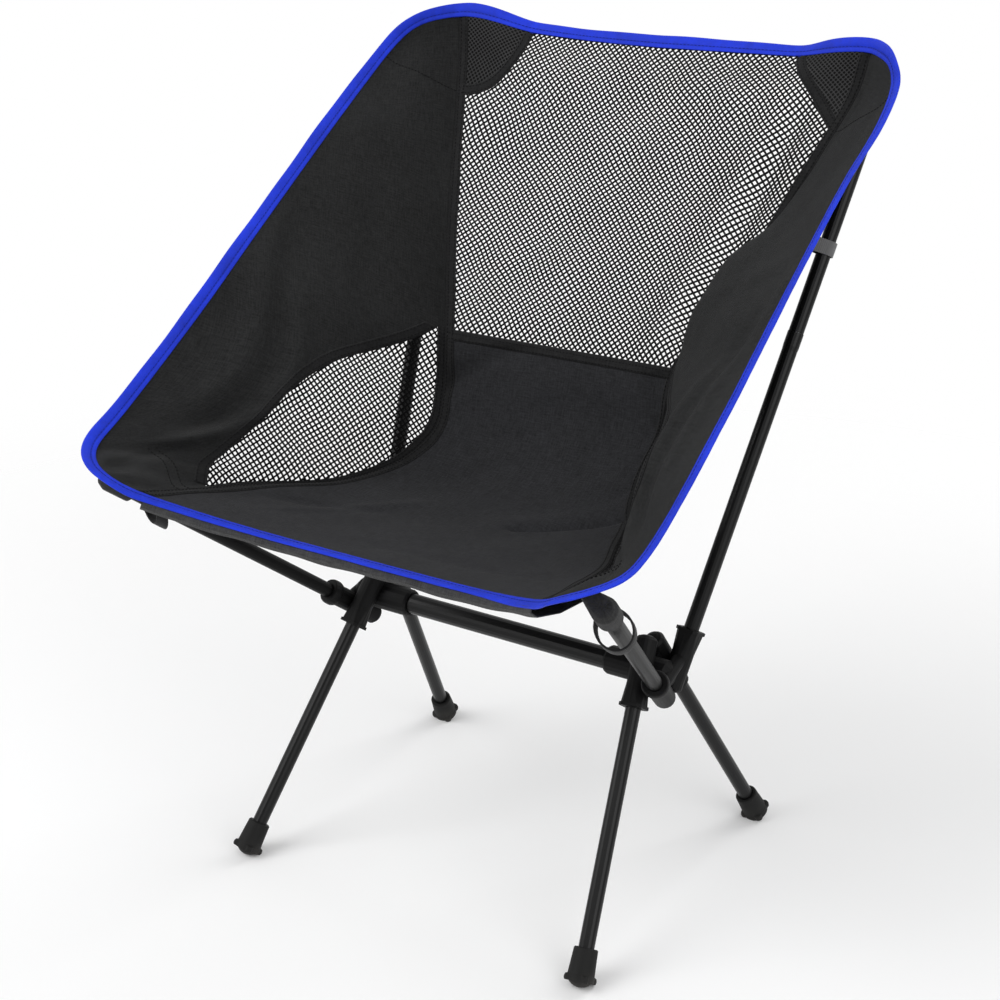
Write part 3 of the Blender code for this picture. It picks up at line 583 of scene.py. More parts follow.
@dataclass
class Surface:
    """A grid of points and of pattern places.

    A wrapped direction joins its last line to its first.
    """

    points: Array
    pattern: Array
    wrap_rows: bool = False
    wrap_columns: bool = False

    def mirrored(self) -> Surface:
        """The same surface on the left side, with its front still in front."""
        points = (self.points * MIRROR)[:, ::-1]
        return Surface(points, self.pattern[:, ::-1], self.wrap_rows, self.wrap_columns)

    def on(self, side: Side) -> Surface:
        """The surface on this side of the chair."""
        return self if side is Side.RIGHT else self.mirrored()

    def corners(self) -> tuple[Array, Array]:
        """Each face's four points, and its four places in the pattern grid, as indices.

        Returns:
            The two arrays, with a row a face.
        """
        rows, columns = self.points.shape[:2]
        row = np.arange(rows if self.wrap_rows else rows - 1)[:, None]
        column = np.arange(columns if self.wrap_columns else columns - 1)[None, :]
        offsets = ((0, 0), (0, 1), (1, 1), (1, 0))
        points = [(row + r) % rows * columns + (column + c) % columns for r, c in offsets]
        width = self.pattern.shape[1]
        pattern = [(row + r) * width + (column + c) for r, c in offsets]
        return (
            np.stack(np.broadcast_arrays(*points), -1).reshape(-1, 4),
            np.stack(np.broadcast_arrays(*pattern), -1).reshape(-1, 4),
        )


def mesh_object(name: str, points: Array, faces: Array, pattern: Array, finish: Any) -> Any:
    """An object with a mesh of four-sided faces.

    Args:
        name: the piece's name.
        points: its points.
        faces: four point indices a face.
        pattern: four pattern places a face, in metres.
        finish: its material.

    Returns:
        The new object, at the origin.
    """
    points = LIFT.moved(points)
    mesh = bpy.data.meshes.new(name)
    mesh.vertices.add(len(points))
    mesh.vertices.foreach_set("co", np.ascontiguousarray(points, np.float32).ravel())
    mesh.loops.add(faces.size)
    mesh.loops.foreach_set("vertex_index", faces.astype(np.int32).ravel())
    mesh.polygons.add(len(faces))
    mesh.polygons.foreach_set("loop_start", np.arange(0, faces.size, 4, dtype=np.int32))
    mesh.update(calc_edges=True)
    layer = mesh.uv_layers.new(name="pattern")
    layer.data.foreach_set("uv", np.ascontiguousarray(pattern, np.float32).ravel())
    mesh.materials.append(finish)
    mesh.validate()
    mesh.shade_smooth()
    item = bpy.data.objects.new(name, mesh)
    bpy.context.scene.collection.objects.link(item)
    return item


def merged(item: Any, distance: float = 1e-6, outward: bool = False) -> Any:
    """Joins a mesh's points that lie in one place and, for a closed mesh, turns its faces out.

    Args:
        item: a mesh object.
        distance: how near such points lie, in metres.
        outward: whether the mesh is closed.

    Returns:
        The same object.
    """
    shape = bmesh.new()
    shape.from_mesh(item.data)
    bmesh.ops.remove_doubles(shape, verts=shape.verts, dist=distance)
    bmesh.ops.dissolve_degenerate(shape, edges=shape.edges, dist=distance)
    if outward:
        bmesh.ops.recalc_face_normals(shape, faces=shape.faces)
    shape.to_mesh(item.data)
    shape.free()
    return item


def surface_object(name: str, surfaces: Sequence[Surface], finish: Any) -> Any:
    """One object that holds these surfaces, with the points of touching ones joined.

    Args:
        name: the piece's name.
        surfaces: its surfaces.
        finish: its material.

    Returns:
        The new object.
    """
    points, faces, pattern, first = [], [], [], 0
    for surface in surfaces:
        corners, places = surface.corners()
        points.append(surface.points.reshape(-1, 3))
        faces.append(corners + first)
        pattern.append(surface.pattern.reshape(-1, 2)[places])
        first += surface.points.shape[0] * surface.points.shape[1]
    return mesh_object(name, np.vstack(points), np.vstack(faces), np.vstack(pattern), finish)


def thicken(item: Any, thickness: float, offset: float = -1.0) -> Any:
    """Gives a sheet its thickness, behind its front.

    Args:
        item: the sheet.
        thickness: in metres.
        offset: -1 puts it all behind the front, and 0 half on each side.

    Returns:
        The same object.
    """
    solid = item.modifiers.new("cloth", "SOLIDIFY")
    solid.thickness = thickness
    solid.offset = offset
    solid.use_even_offset = False
    return item


def place(item: Any, slot: str, *nodes: str) -> Any:
    """Puts a piece on the chair: it rides on the main body, and may stand for frame nodes.

    Args:
        item: the piece.
        slot: its finish slot's name; not used.
        nodes: the frame nodes that it stands for.

    Returns:
        The same object.
    """
    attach(item, ROOT)
    if nodes:
        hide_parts(*nodes)
    log.info("%s: %d faces", item.name, len(item.data.polygons))
    return item


@dataclass(frozen=True)
class Thread:
    """A run of stitches: their pitch, length and thickness, in metres."""

    pitch: float = 0.0034
    length: float = 0.0024
    radius: float = 0.00040

    def surfaces(self, path: Array, normal: Array) -> list[Surface]:
        """Stitches along a path, as one grid: each is a spindle whose radius is a half sine.

        Args:
            path: the points that the stitches follow, on the cloth.
            normal: the cloth's normal at each of them.

        Returns:
            One closed tube a stitch, all in one surface list.
        """
        run = lengths_along(path)
        middles = np.arange(self.pitch / 2, run[-1], self.pitch)
        shares = np.linspace(-0.5, 0.5, 5)
        places = np.clip(middles[:, None] + shares * self.length, 0, run[-1])
        line = resampled(path, run, places.ravel()).reshape(*places.shape, 3)
        up = unit(resampled(normal, run, middles))
        ahead = unit(line[:, -1] - line[:, 0])
        aside = np.cross(ahead, up)
        swell = np.sqrt(np.clip(1 - (2 * shares) ** 2, 0.0, 1)) * self.radius
        angles = np.arange(4) * math.pi / 2 + math.pi / 4
        ring = np.cos(angles)[:, None, None] * aside + np.sin(angles)[:, None, None] * up
        grid = line[:, :, None] + swell[None, :, None, None] * ring.transpose(1, 0, 2)[:, None]
        return [Surface(one, np.zeros((5, 5, 2)), wrap_columns=True) for one in grid]


def stitching(name: str, threads: Sequence[Surface], finish: Any) -> Any:
    """One object that holds many stitches."""
    return merged(surface_object(name, threads, finish), outward=True)


# Shader maths


class Field:
    """A shader value or colour. Operators on it add Math nodes."""

    def __init__(self, graph: Graph, socket: Any) -> None:
        """Wraps an output socket of a graph's node."""
        self.graph = graph
        self.socket = socket

    def _math(self, operation: str, first: Any, second: Any = 0.0) -> Field:
        """One Math node on two values."""
        return self.graph.node("ShaderNodeMath", {"operation": operation}, {0: first, 1: second})

    def __add__(self, other: Any) -> Field:
        """Self plus other."""
        return self._math("ADD", self, other)

    __radd__ = __add__

    def __mul__(self, other: Any) -> Field:
        """Self times other."""
        return self._math("MULTIPLY", self, other)

    __rmul__ = __mul__

    def __sub__(self, other: Any) -> Field:
        """Self less other."""
        return self._math("SUBTRACT", self, other)

    def __rsub__(self, other: Any) -> Field:
        """Other less self."""
        return self._math("SUBTRACT", other, self)

    def __pow__(self, other: Any) -> Field:
        """Self to the power of other."""
        return self._math("POWER", self, other)

    def __abs__(self) -> Field:
        """The size of self."""
        return self._math("ABSOLUTE", self)

    def sine(self) -> Field:
        """The sine of self."""
        return self._math("SINE", self)

    def held(self) -> Field:
        """Self held between 0 and 1."""
        return self.graph.node("ShaderNodeClamp", {}, {"Value": self})

    def step(self, low: float, high: float) -> Field:
        """A smooth step of self from 0 at low to 1 at high."""
        settings = {"interpolation_type": "SMOOTHSTEP"}
        return self.graph.node(
            "ShaderNodeMapRange", settings, {"Value": self, "From Min": low, "From Max": high}
        )


class Graph:
    """The node tree of one material."""

    def __init__(self, name: str) -> None:
        """Starts a material with only its Principled shader.

        Args:
            name: the material's name.
        """
        self.material = bpy.data.materials.new(name)
        self.material.use_nodes = True
        self.tree = self.material.node_tree
        self.shader = self.tree.nodes["Principled BSDF"]

    def node(
        self,
        kind: str,
        settings: Mapping[str, Any],
        inputs: Mapping[int | str, Any],
        output: int | str = 0,
    ) -> Field:
        """Adds a node.

        Args:
            kind: the node's type.
            settings: its own settings, which are set first.
            inputs: a value, colour or field for each of its sockets, by place or name.
            output: which of its outputs is wanted.

        Returns:
            That output.
        """
        made = self.tree.nodes.new(kind)
        for key, value in settings.items():
            setattr(made, key, value)
        for key, value in inputs.items():
            self.feed(made.inputs[key], value)
        return Field(self, made.outputs[output])

    def feed(self, socket: Any, value: Any) -> None:
        """Links a field to a socket, or sets the socket to a plain value."""
        if isinstance(value, Field):
            self.tree.links.new(value.socket, socket)
        elif isinstance(value, tuple) and len(value) == 3 and socket.type == "RGBA":
            socket.default_value = (*value, 1.0)
        else:
            socket.default_value = value

    def place(self, output: str = "Object") -> Field:
        """Where the point lies: in the object, or in its pattern with UV."""
        return self.node("ShaderNodeTexCoord", {}, {}, output)

    def parts(self, vector: Field) -> tuple[Field, Field, Field]:
        """The three numbers of a vector.

        Args:
            vector: a field that holds a vector.

        Returns:
            A field for each number.
        """
        made = self.node("ShaderNodeSeparateXYZ", {}, {0: vector}).socket.node
        x, y, z = (Field(self, socket) for socket in made.outputs)
        return x, y, z

    def noise(self, scale: float, detail: float = 3.0, roughness: float = 0.5) -> Field:
        """Uneven patches about 1 / scale metres across."""
        inputs = {"Vector": self.place(), "Scale": scale, "Detail": detail, "Roughness": roughness}
        return self.node("ShaderNodeTexNoise", {}, inputs)

    def streaks(self, u: Field, v: Field, wide: float, long: float) -> Field:
        """Uneven threads: patches of the pattern, this wide by this long in metres."""
        vector = self.node("ShaderNodeCombineXYZ", {}, {0: u * (1 / wide), 1: v * (1 / long)})
        return self.node("ShaderNodeTexNoise", {}, {"Vector": vector, "Scale": 1.0, "Detail": 2.0})

    def mix(self, first: Any, second: Any, share: Any) -> Field:
        """The first colour, going over to the second by this share."""
        return self.node("ShaderNodeMix", {"data_type": "RGBA"}, {0: share, 6: first, 7: second}, 2)

    def bump(self, height: Field, distance: float, strength: float = 1.0) -> Field:
        """A normal for this height, 0 to 1, over this distance in metres."""
        inputs = {"Height": height, "Distance": distance, "Strength": strength}
        return self.node("ShaderNodeBump", {}, inputs, "Normal")

    def finish(self, plain: Mapping[str, Any], varying: Mapping[str, Any]) -> Any:
        """Sets the shader's plain sockets and links its varying ones, and returns the material."""
        for key, value in {**plain, **varying}.items():
            self.feed(self.shader.inputs[key], value)
        return self.material


def scaled(colour: Colour, share: float) -> Colour:
    """A colour made lighter or darker."""
    return (colour[0] * share, colour[1] * share, colour[2] * share)


@dataclass(frozen=True)
class WovenFinish:
    """Plain-woven cloth: crossing threads, uneven dye, a few rubbed places, painted weave shade and
    a soft sheen.
    """

    name: str
    colour: Colour
    pitch: float = 0.0008
    roughness: float = 0.82
    sheen: float = 0.05
    mottling: float = 0.66

    def build(self) -> Any:
        """The threads' height is 1/2 + sin(u) sin(v) / 2, with u and v in turns of the pitch.

        Returns:
            The material.
        """
        graph = Graph(self.name)
        u, v, _ = graph.parts(graph.place("UV"))
        turn = 2 * math.pi / self.pitch
        threads = (u * turn).sine() * (v * turn).sine() * 0.5 + 0.5
        warp, weft = graph.streaks(u, v, 0.0011, 0.012), graph.streaks(u, v, 0.012, 0.0011)
        broad, fine = graph.noise(9.0, 4.0, 0.6), graph.noise(650.0, 2.0, 0.7)
        # Painted shade: the threads term darkens the colour where the weave lies low, as shade in
        # its hollows; the noises and streaks are uneven dye.
        tone = (broad - 0.5) * 0.45 + (fine - 0.5) * 0.7 + (threads - 0.5) * 0.2
        tone = tone + (warp - 0.5) * 0.7 + (weft - 0.5) * 0.7
        share = (tone * self.mottling * 2.4 + 0.5).held()
        colour = graph.mix(scaled(self.colour, 0.45), scaled(self.colour, 1.55), share)
        height = threads * 0.45 + warp * 0.25 + weft * 0.3
        plain = {"Sheen Weight": self.sheen, "Sheen Roughness": 0.45, "Specular IOR Level": 0.16}
        varying = {
            "Base Color": colour,
            "Roughness": (broad * 0.12 + (self.roughness - 0.06)).held(),
            "Normal": graph.bump(height, 0.0004, 0.8),
        }
        return graph.finish(plain, varying)


@dataclass(frozen=True)
class TapeFinish:
    """Woven binding tape: cross ribs, a pressed stitch channel and uneven dye, with painted shade.
    """

    name: str
    colour: Colour
    rib: float = 0.0009
    thread: float = 0.0006
    channel: float = 0.0
    channel_shade_width: float = 0.0012
    sheen: float = 0.04

    def build(self) -> Any:
        """The ribs' height is |sin(pi u / rib)|; the channel is painted dark along the tape as the
        shade in its groove.

        Returns:
            The material.
        """
        graph = Graph(self.name)
        u, v, _ = graph.parts(graph.place("UV"))
        ribs = abs((u * (math.pi / self.rib)).sine())
        threads = (v * (2 * math.pi / self.thread)).sine() * 0.5 + 0.5
        broad, fine = graph.noise(16.0, 4.0, 0.6), graph.noise(160.0, 2.0)
        # Painted shade: the colour darkens in the stitch channel's groove and in the hollows
        # between the ribs.
        near = 1.0 - abs(v - self.channel).step(self.channel_shade_width * 0.2, self.channel_shade_width)
        dye = (broad - 0.5) * 0.9 + (fine - 0.5) * 0.6
        share = (dye + (ribs - 0.6) * 0.35 + 0.5 - near * 0.35).held()
        colour = graph.mix(scaled(self.colour, 0.55), scaled(self.colour, 1.25), share)
        plain = {"Sheen Weight": self.sheen, "Sheen Roughness": 0.4, "Specular IOR Level": 0.2}
        varying = {
            "Base Color": colour,
            "Roughness": (fine * 0.15 + 0.5).held(),
            "Normal": graph.bump(ribs * 0.7 + threads * 0.3, 0.00028, 0.55),
        }
        return graph.finish(plain, varying)


@dataclass(frozen=True)
class FineMeshFinish:
    """Two layers of close net: rows of small holes in a matt knit, painted dark as the shade inside
    them.
    """

    name: str
    colour: Colour
    pitch: float = 0.0044

    def build(self) -> Any:
        """A hole is where |sin(pi (u + v) / pitch)| |sin(pi (u - v) / pitch)| is over a limit.

        Returns:
            The material.
        """
        graph = Graph(self.name)
        u, v, _ = graph.parts(graph.place("UV"))
        turn = math.pi / self.pitch
        front = abs(((u + v) * turn).sine()) * abs(((u - v) * turn).sine())
        rise, fall = u * 1.06 + v * 0.97, u * 0.98 - v * 1.05
        rear = abs((rise * turn).sine()) * abs((fall * turn).sine())
        holes = front.step(0.30, 0.50) * (rear.step(0.10, 0.50) * 0.4 + 0.6)
        broad = graph.noise(24.0, 3.0, 0.6)
        # Painted shade: the holes are darkened as the shade inside the two layers of knit.
        tone = (broad * 0.7 + 0.35 - holes * 1.1).held()
        colour = graph.mix(scaled(self.colour, 0.04), scaled(self.colour, 1.6), tone)
        plain = {"Sheen Weight": 0.04, "Sheen Roughness": 0.5, "Specular IOR Level": 0.12}
        varying = {
            "Base Color": colour,
            "Roughness": (holes * 0.1 + 0.75).held(),
            "Normal": graph.bump(1.0 - holes, 0.0005, 0.7),
        }
        return graph.finish(plain, varying)


@dataclass(frozen=True)
class NetFinish:
    """The yarn of an open net: a fine twist and slightly uneven colour."""

    name: str
    colour: Colour
    twist: float = 0.00045

    def build(self) -> Any:
        """The twist's height is 1/2 + sin(u + v) / 2, with u and v in turns of its pitch.

        Returns:
            The material.
        """
        graph = Graph(self.name)
        u, v, _ = graph.parts(graph.place("UV"))
        twist = ((u + v) * (2 * math.pi / self.twist)).sine() * 0.5 + 0.5
        broad, fine = graph.noise(14.0, 3.0), graph.noise(300.0, 2.0)
        share = (broad * 0.6 + fine * 0.5 - 0.05).held()
        colour = graph.mix(scaled(self.colour, 0.6), scaled(self.colour, 1.5), share)
        plain = {"Sheen Weight": 0.01, "Sheen Roughness": 0.5, "Specular IOR Level": 0.1}
        varying = {
            "Base Color": colour,
            "Roughness": (fine * 0.2 + 0.6).held(),
            "Normal": graph.bump(twist, 0.00012, 0.4),
        }
        return graph.finish(plain, varying)


@dataclass(frozen=True)
class PaintFinish:
    """Satin paint on drawn tube: a fine orange peel, thin scuffs and slightly worn sheen."""

    name: str
    colour: Colour
    roughness: float = 0.3
    metallic: float = 0.0
    coat: float = 0.25
    gloss: float = 0.22

    def build(self) -> Any:
        """The scuffs are the crests of a fine noise, and they lighten and roughen the paint.

        Returns:
            The material.
        """
        graph = Graph(self.name)
        peel, broad = graph.noise(900.0, 2.0), graph.noise(11.0, 4.0, 0.6)
        scuffs = graph.noise(260.0, 5.0, 0.72).step(0.66, 0.78) * broad.step(0.45, 0.7)
        share = (broad * 0.5 + scuffs * 0.5).held()
        colour = graph.mix(scaled(self.colour, 0.8), scaled(self.colour, 2.2), share)
        plain = {"Metallic": self.metallic, "Coat Roughness": 0.2, "Specular IOR Level": self.gloss}
        varying = {
            "Base Color": colour,
            "Roughness": (broad * 0.1 + scuffs * 0.2 + (self.roughness - 0.05)).held(),
            "Coat Weight": (1.0 - scuffs) * self.coat,
            "Normal": graph.bump(peel, 0.00005, 0.35),
        }
        return graph.finish(plain, varying)


@dataclass(frozen=True)
class MouldedFinish:
    """Moulded plastic or rubber: a fine grain, soft flow marks, and dust near the floor."""

    name: str
    colour: Colour
    roughness: float = 0.55
    grain: float = 0.00008
    dust: float = 0.0
    dust_height: float = 0.02

    def build(self) -> Any:
        """The dust's share is what is left of 1 after the height over the floor, times a noise.

        Returns:
            The material.
        """
        graph = Graph(self.name)
        pebbles, flow = graph.noise(1400.0, 2.0), graph.noise(40.0, 4.0, 0.65)
        _, _, height = graph.parts(graph.place())
        low = 1.0 - height.step(0.0, self.dust_height)
        dusty = (low * flow.step(0.3, 0.7) * self.dust).held()
        plain_colour = graph.mix(scaled(self.colour, 0.75), scaled(self.colour, 1.5), flow)
        colour = graph.mix(plain_colour, (0.09, 0.085, 0.078), dusty)
        varying = {
            "Base Color": colour,
            "Roughness": (flow * 0.16 + dusty * 0.2 + (self.roughness - 0.08)).held(),
            "Normal": graph.bump(pebbles * 0.7 + flow * 0.3, self.grain, 0.6),
        }
        return graph.finish({"Specular IOR Level": 0.16}, varying)


class Finishes:
    """Every finish of the chair."""

    def __init__(self) -> None:
        """Builds the materials once."""
        self.seat = WovenFinish("seat_cloth", (0.0205, 0.0208, 0.0230)).build()
        self.wing = WovenFinish("wing_cloth", (0.0162, 0.0165, 0.0167)).build()
        self.hem = WovenFinish("hem_cloth", (0.0135, 0.0135, 0.0140)).build()
        self.facing = WovenFinish("facing_cloth", (0.045, 0.045, 0.046), roughness=0.7).build()
        self.pocket = WovenFinish("pocket_cloth", (0.022, 0.022, 0.0225), roughness=0.7).build()
        self.net = NetFinish("open_net", (0.0020, 0.0020, 0.0021)).build()
        self.mesh = FineMeshFinish("fine_mesh", (0.030, 0.030, 0.0305)).build()
        self.tape = TapeFinish("blue_binding", (0.0105, 0.040, 0.69)).build()
        self.tape_thread = NetFinish("blue_thread", (0.006, 0.016, 0.22)).build()
        # The black thread is its own black, painted darker still as the shade of the pits the
        # stitches sink into.
        self.thread = NetFinish("black_thread", (0.0022, 0.0022, 0.0023)).build()
        self.webbing = TapeFinish("black_webbing", (0.010, 0.010, 0.0105), rib=0.0012).build()
        self.tab = TapeFinish("grey_webbing", (0.145, 0.145, 0.147), rib=0.0012, sheen=0.1).build()
        self.pole = PaintFinish("pole_paint", (0.0032, 0.0032, 0.0034), 0.32, coat=0.04).build()
        # Painted shade: the seat poles, which catch the key light, get a darker copy of the pole
        # paint with less gloss.
        self.seat_pole = PaintFinish(
            "seat_pole_paint", (0.0028, 0.0028, 0.0029), 0.40, coat=0.0, gloss=0.12
        ).build()
        self.crossbar = PaintFinish(
            "crossbar_paint", (0.0040, 0.0040, 0.0042), 0.34, coat=0.04
        ).build()
        self.ferrule = PaintFinish("ferrule_metal", (0.45, 0.46, 0.48), 0.35, 1.0, 0.0).build()
        self.hub = MouldedFinish("hub_plastic", (0.0040, 0.0040, 0.0042), 0.54).build()
        self.tip = MouldedFinish("tip_plastic", (0.02, 0.02, 0.02), 0.5).build()
        self.rubber = MouldedFinish("foot_rubber", (0.009, 0.009, 0.0088), 0.6, 0.0001, 0.4).build()
        self.cord = TapeFinish("cord_elastic", (0.03, 0.03, 0.03), rib=0.001, sheen=0.1).build()


# The sling


def on_body(side: Side, across: Array, share: Array) -> tuple[Array, Array]:
    """Grids of places for this side of the seat or back, with their front still in front."""
    return (across, share) if side is Side.RIGHT else (-across[:, ::-1], share[:, ::-1])


@dataclass
class SlingCloth:
    """The sling's surfaces with their folds, and the woven panels: seat, wings and front facing.

    A fold's row is its two ends, then its depth and half width in metres. An end on the seat is a
    share across and a share along, and one on a wing is a height in metres and a share along.
    The fades are how far in from a seam or an edge the folds reach their full depth: shares on the
    body, and for the wing a height in metres and a share. The facing's section is distances outward
    and down from the front edge, joined by straight lines.
    """

    finishes: Finishes
    side_fade: float = 0.05
    end_fade: float = 0.03
    seam_fade: float = 0.015
    wing_fade: float = 0.012
    wing_end_fade: float = 0.02
    facing_half: float = 0.19
    facing_thickness: float = 0.0007
    seat_folds: Array = array_field(
        (0.28, 0.202, 0.99, 0.268, -0.0046, 0.0034),
        (0.30, 0.225, 0.92, 0.290, 0.0020, 0.010),
        (0.78, 0.880, 0.82, 0.680, -0.0060, 0.013),
        (0.66, 0.840, 0.70, 0.640, 0.0030, 0.016),
        (-0.60, 0.93, 0.60, 0.94, 0.0030, 0.018),
        (-0.02, 0.062, 0.66, 0.080, -0.0020, 0.010),
        (-0.97, 0.495, -0.50, 0.580, -0.0034, 0.011),
        (-0.90, 0.450, -0.30, 0.500, 0.0018, 0.016),
        (0.86, 0.565, 0.92, 0.530, -0.0026, 0.010),
        (-0.95, 0.330, -0.45, 0.380, -0.0018, 0.010),
        (-0.80, 0.120, -0.55, 0.150, -0.0018, 0.007),
        (-0.70, 0.100, -0.50, 0.190, 0.0016, 0.007),
    )
    wing_folds: Array = array_field(
        (0.138, 0.20, 0.145, 0.52, 0.0044, 0.012),
        (0.160, 0.27, 0.150, 0.60, -0.0040, 0.013),
        (0.186, 0.34, 0.160, 0.66, 0.0032, 0.012),
        (0.080, 0.62, 0.060, 0.90, -0.0020, 0.016),
        (0.020, 0.64, 0.110, 0.70, 0.0016, 0.013),
        (0.060, 0.06, 0.110, 0.15, -0.0018, 0.010),
    )
    facing_section: Array = array_field(
        (0.0084, 0.0015),
        (0.0104, 0.0058),
        (0.0066, 0.0098),
        (-0.010, 0.0113),
        (-0.028, 0.008),
        (-0.045, 0.004),
    )

    def __post_init__(self) -> None:
        """Works out the folds and the two cloth surfaces."""
        self.share, self.distance = SHAPE.run(SHAPE.middle)
        self.seam_share, self.seam_distance = SHAPE.run(SHAPE.seam)
        self.ripples = Ripples(0.0011, 0.16, 0.05, 11)
        self.wing_ripples = {side: Ripples(0.0014, 0.20, 0.06, 23 + side.value) for side in Side}
        self.creases = self.folds(self.seat_folds, self.seat_place)
        self.wing_creases = self.folds(self.wing_folds, self.wing_place)
        self.body = Cloth(SHAPE.body, self.body_relief)
        self.wings = {side: Cloth(SHAPE.wing, self.wing_relief(side), (1e-4, 1.0)) for side in Side}

    @staticmethod
    def folds(rows: Array, where: Callable[[float, float], tuple[float, float]]) -> list[Crease]:
        """The folds of a table, with their ends put in metres by this rule."""
        return [Crease(where(*row[:2]), where(*row[2:4]), *row[4:]) for row in rows]

    def seat_place(self, across: float, share: float) -> tuple[float, float]:
        """A place on the seat or back in metres: across it, and along its middle."""
        side = float(SHAPE.seam(np.array(share))[0])
        return across * side, float(np.interp(share, self.share, self.distance))

    def wing_place(self, height: float, share: float) -> tuple[float, float]:
        """A place on the wing in metres: above the seam, and along it."""
        return height, float(np.interp(share, self.seam_share, self.seam_distance))

    def body_relief(self, across: Array, share: Array) -> Array:
        """The folds of the seat and back, faded to nothing at the seams and edges.

        Args:
            across: shares across.
            share: shares along.

        Returns:
            A height for each place.
        """
        u = across * SHAPE.seam(share)[..., 0]
        v = np.interp(share, self.share, self.distance)
        total = self.ripples.relief(u, v)
        for crease in self.creases:
            total = total + crease.relief(u, v)
        sides = ease((1 - np.abs(across)) / self.side_fade)
        ends = ease(share / self.end_fade) * ease((1 - share) / self.end_fade)
        seam = ease(np.abs(share - SHAPE.back_start) / self.seam_fade)
        return total * sides * ends * seam

    def wing_relief(self, side: Side) -> Rule:
        """The rule for one wing's hang and folds, which fade to nothing at its seam and edges."""

        def relief(height: Array, share: Array) -> Array:
            """The hang plus the folds at these places.

            Args:
                height: metres above the seam.
                share: shares along.

            Returns:
                A height for each place.
            """
            v = np.interp(share, self.seam_share, self.seam_distance)
            total = self.wing_ripples[side].relief(height, v)
            for crease in self.wing_creases:
                total = total + crease.relief(height, v)
            edge = ease((SHAPE.wing_height(share) - height) / self.wing_fade)
            ends = ease(share / self.wing_end_fade) * ease((1 - share) / self.wing_end_fade)
            held = total * ease(height / self.wing_fade) * edge * ends
            return held + BELLIES[side].relief(height, share)

        return relief

    def pattern(self, across: Array, share: Array) -> Array:
        """Pattern places on the seat and back, in metres."""
        u = across * SHAPE.seam(share)[..., 0]
        return np.stack([u, np.interp(share, self.share, self.distance)], -1)

    def wing_pattern(self, height: Array, share: Array) -> Array:
        """Pattern places on a wing, in metres."""
        return np.stack([height, np.interp(share, self.seam_share, self.seam_distance)], -1)

    def body_surface(self, across: Array, share: Array, lift: Array | float = 0.0) -> Surface:
        """A surface on the seat or back, from grids of places."""
        across, share = np.broadcast_arrays(across, share)
        return Surface(self.body.point(across, share, lift), self.pattern(across, share))

    def wing_surface(
        self, side: Side, height: Array, share: Array, lift: Array | float = 0.0
    ) -> Surface:
        """A surface on this side's wing, from grids of places.

        Args:
            side: its side of the chair.
            height: metres above the seam.
            share: shares along.
            lift: more height over the wing, in metres.

        Returns:
            The surface.
        """
        height, share = np.broadcast_arrays(height, share)
        points = self.wings[side].point(height, share, lift)
        return Surface(points, self.wing_pattern(height, share)).on(side)

    def build(self) -> None:
        """Makes the seat, the wings and the facing."""
        self.build_seat()
        for side in Side:
            self.build_wing(side)
        self.build_facing()

    def build_seat(self) -> None:
        """The seat panel: a grid over the body's rule, from the front edge to the back's seam."""
        share = np.linspace(0, SHAPE.back_start - 0.0004, 180)[:, None]
        side = SHAPE.seam(share)[..., 0]
        across = np.linspace(-1, 1, 145)[None, :] * (1 - SEWN_GAP / 2 / side)
        item = surface_object("seat_cloth", [self.body_surface(across, share)], self.finishes.seat)
        thicken(item, PANEL_THICKNESS)
        place(item, "seat_cloth", "seat_panel")
        area_of(item)

    def build_wing(self, side: Side) -> None:
        """One wing: a grid below the window and one from the window's upper hem to the edge.

        Args:
            side: its side of the chair.
        """
        share = np.linspace(0, 1, 201)[:, None]
        low = np.linspace(SEWN_GAP / 2, SHAPE.window_margin, 5)[None, :] + 0 * share
        top, height = SHAPE.window_top(share), SHAPE.wing_height(share)
        high = top + (height - top) * np.linspace(0, 1, 49)[None, :]
        grids = [self.wing_surface(side, low, share), self.wing_surface(side, high, share)]
        item = merged(surface_object(f"wing_cloth_{side.word}", grids, self.finishes.wing))
        thicken(item, PANEL_THICKNESS)
        place(item, "wing_cloth", f"side_wing_{side.word}")
        area_of(item)

    def build_facing(self) -> None:
        """The facing behind the front edge: a strip carried along it on the facing's section."""
        rim = Rim()
        reach = rim.front_reach(self.facing_half)
        steps = np.linspace(0, len(self.facing_section) - 1, 36)
        section = resampled(self.facing_section, np.arange(len(self.facing_section)), steps)
        points, outward, normals = rim.points[reach], rim.outward[reach], rim.normals[reach]
        run = lengths_along(points)
        sag = 0.0006 * np.sin(run / 0.021) + 0.0005 * np.sin(run / 0.0087 + 1.0)
        fade = ease(np.minimum(run, run[-1] - run) / 0.03)
        depth = section[:, 1][:, None] + (sag * fade)[None, :] * ease(steps / 3)[:, None]
        grid = points + outward * section[:, 0][:, None, None] - normals * depth[..., None]
        across = lengths_along(section)[:, None] + 0 * run
        pattern = np.stack([np.broadcast_to(run, across.shape), across], -1)
        item = surface_object("facing_cloth", [Surface(grid, pattern)], self.finishes.facing)
        thicken(item, self.facing_thickness, 0.0)
        place(item, "facing_cloth", "front_hem_facing")
        area_of(item)


def area_of(item: Any) -> float:
    """The area of a sheet's own faces, in square metres.

    Args:
        item: the sheet.

    Returns:
        The area.
    """
    areas = np.zeros(len(item.data.polygons), np.float32)
    item.data.polygons.foreach_get("area", areas)
    return float(areas.sum())


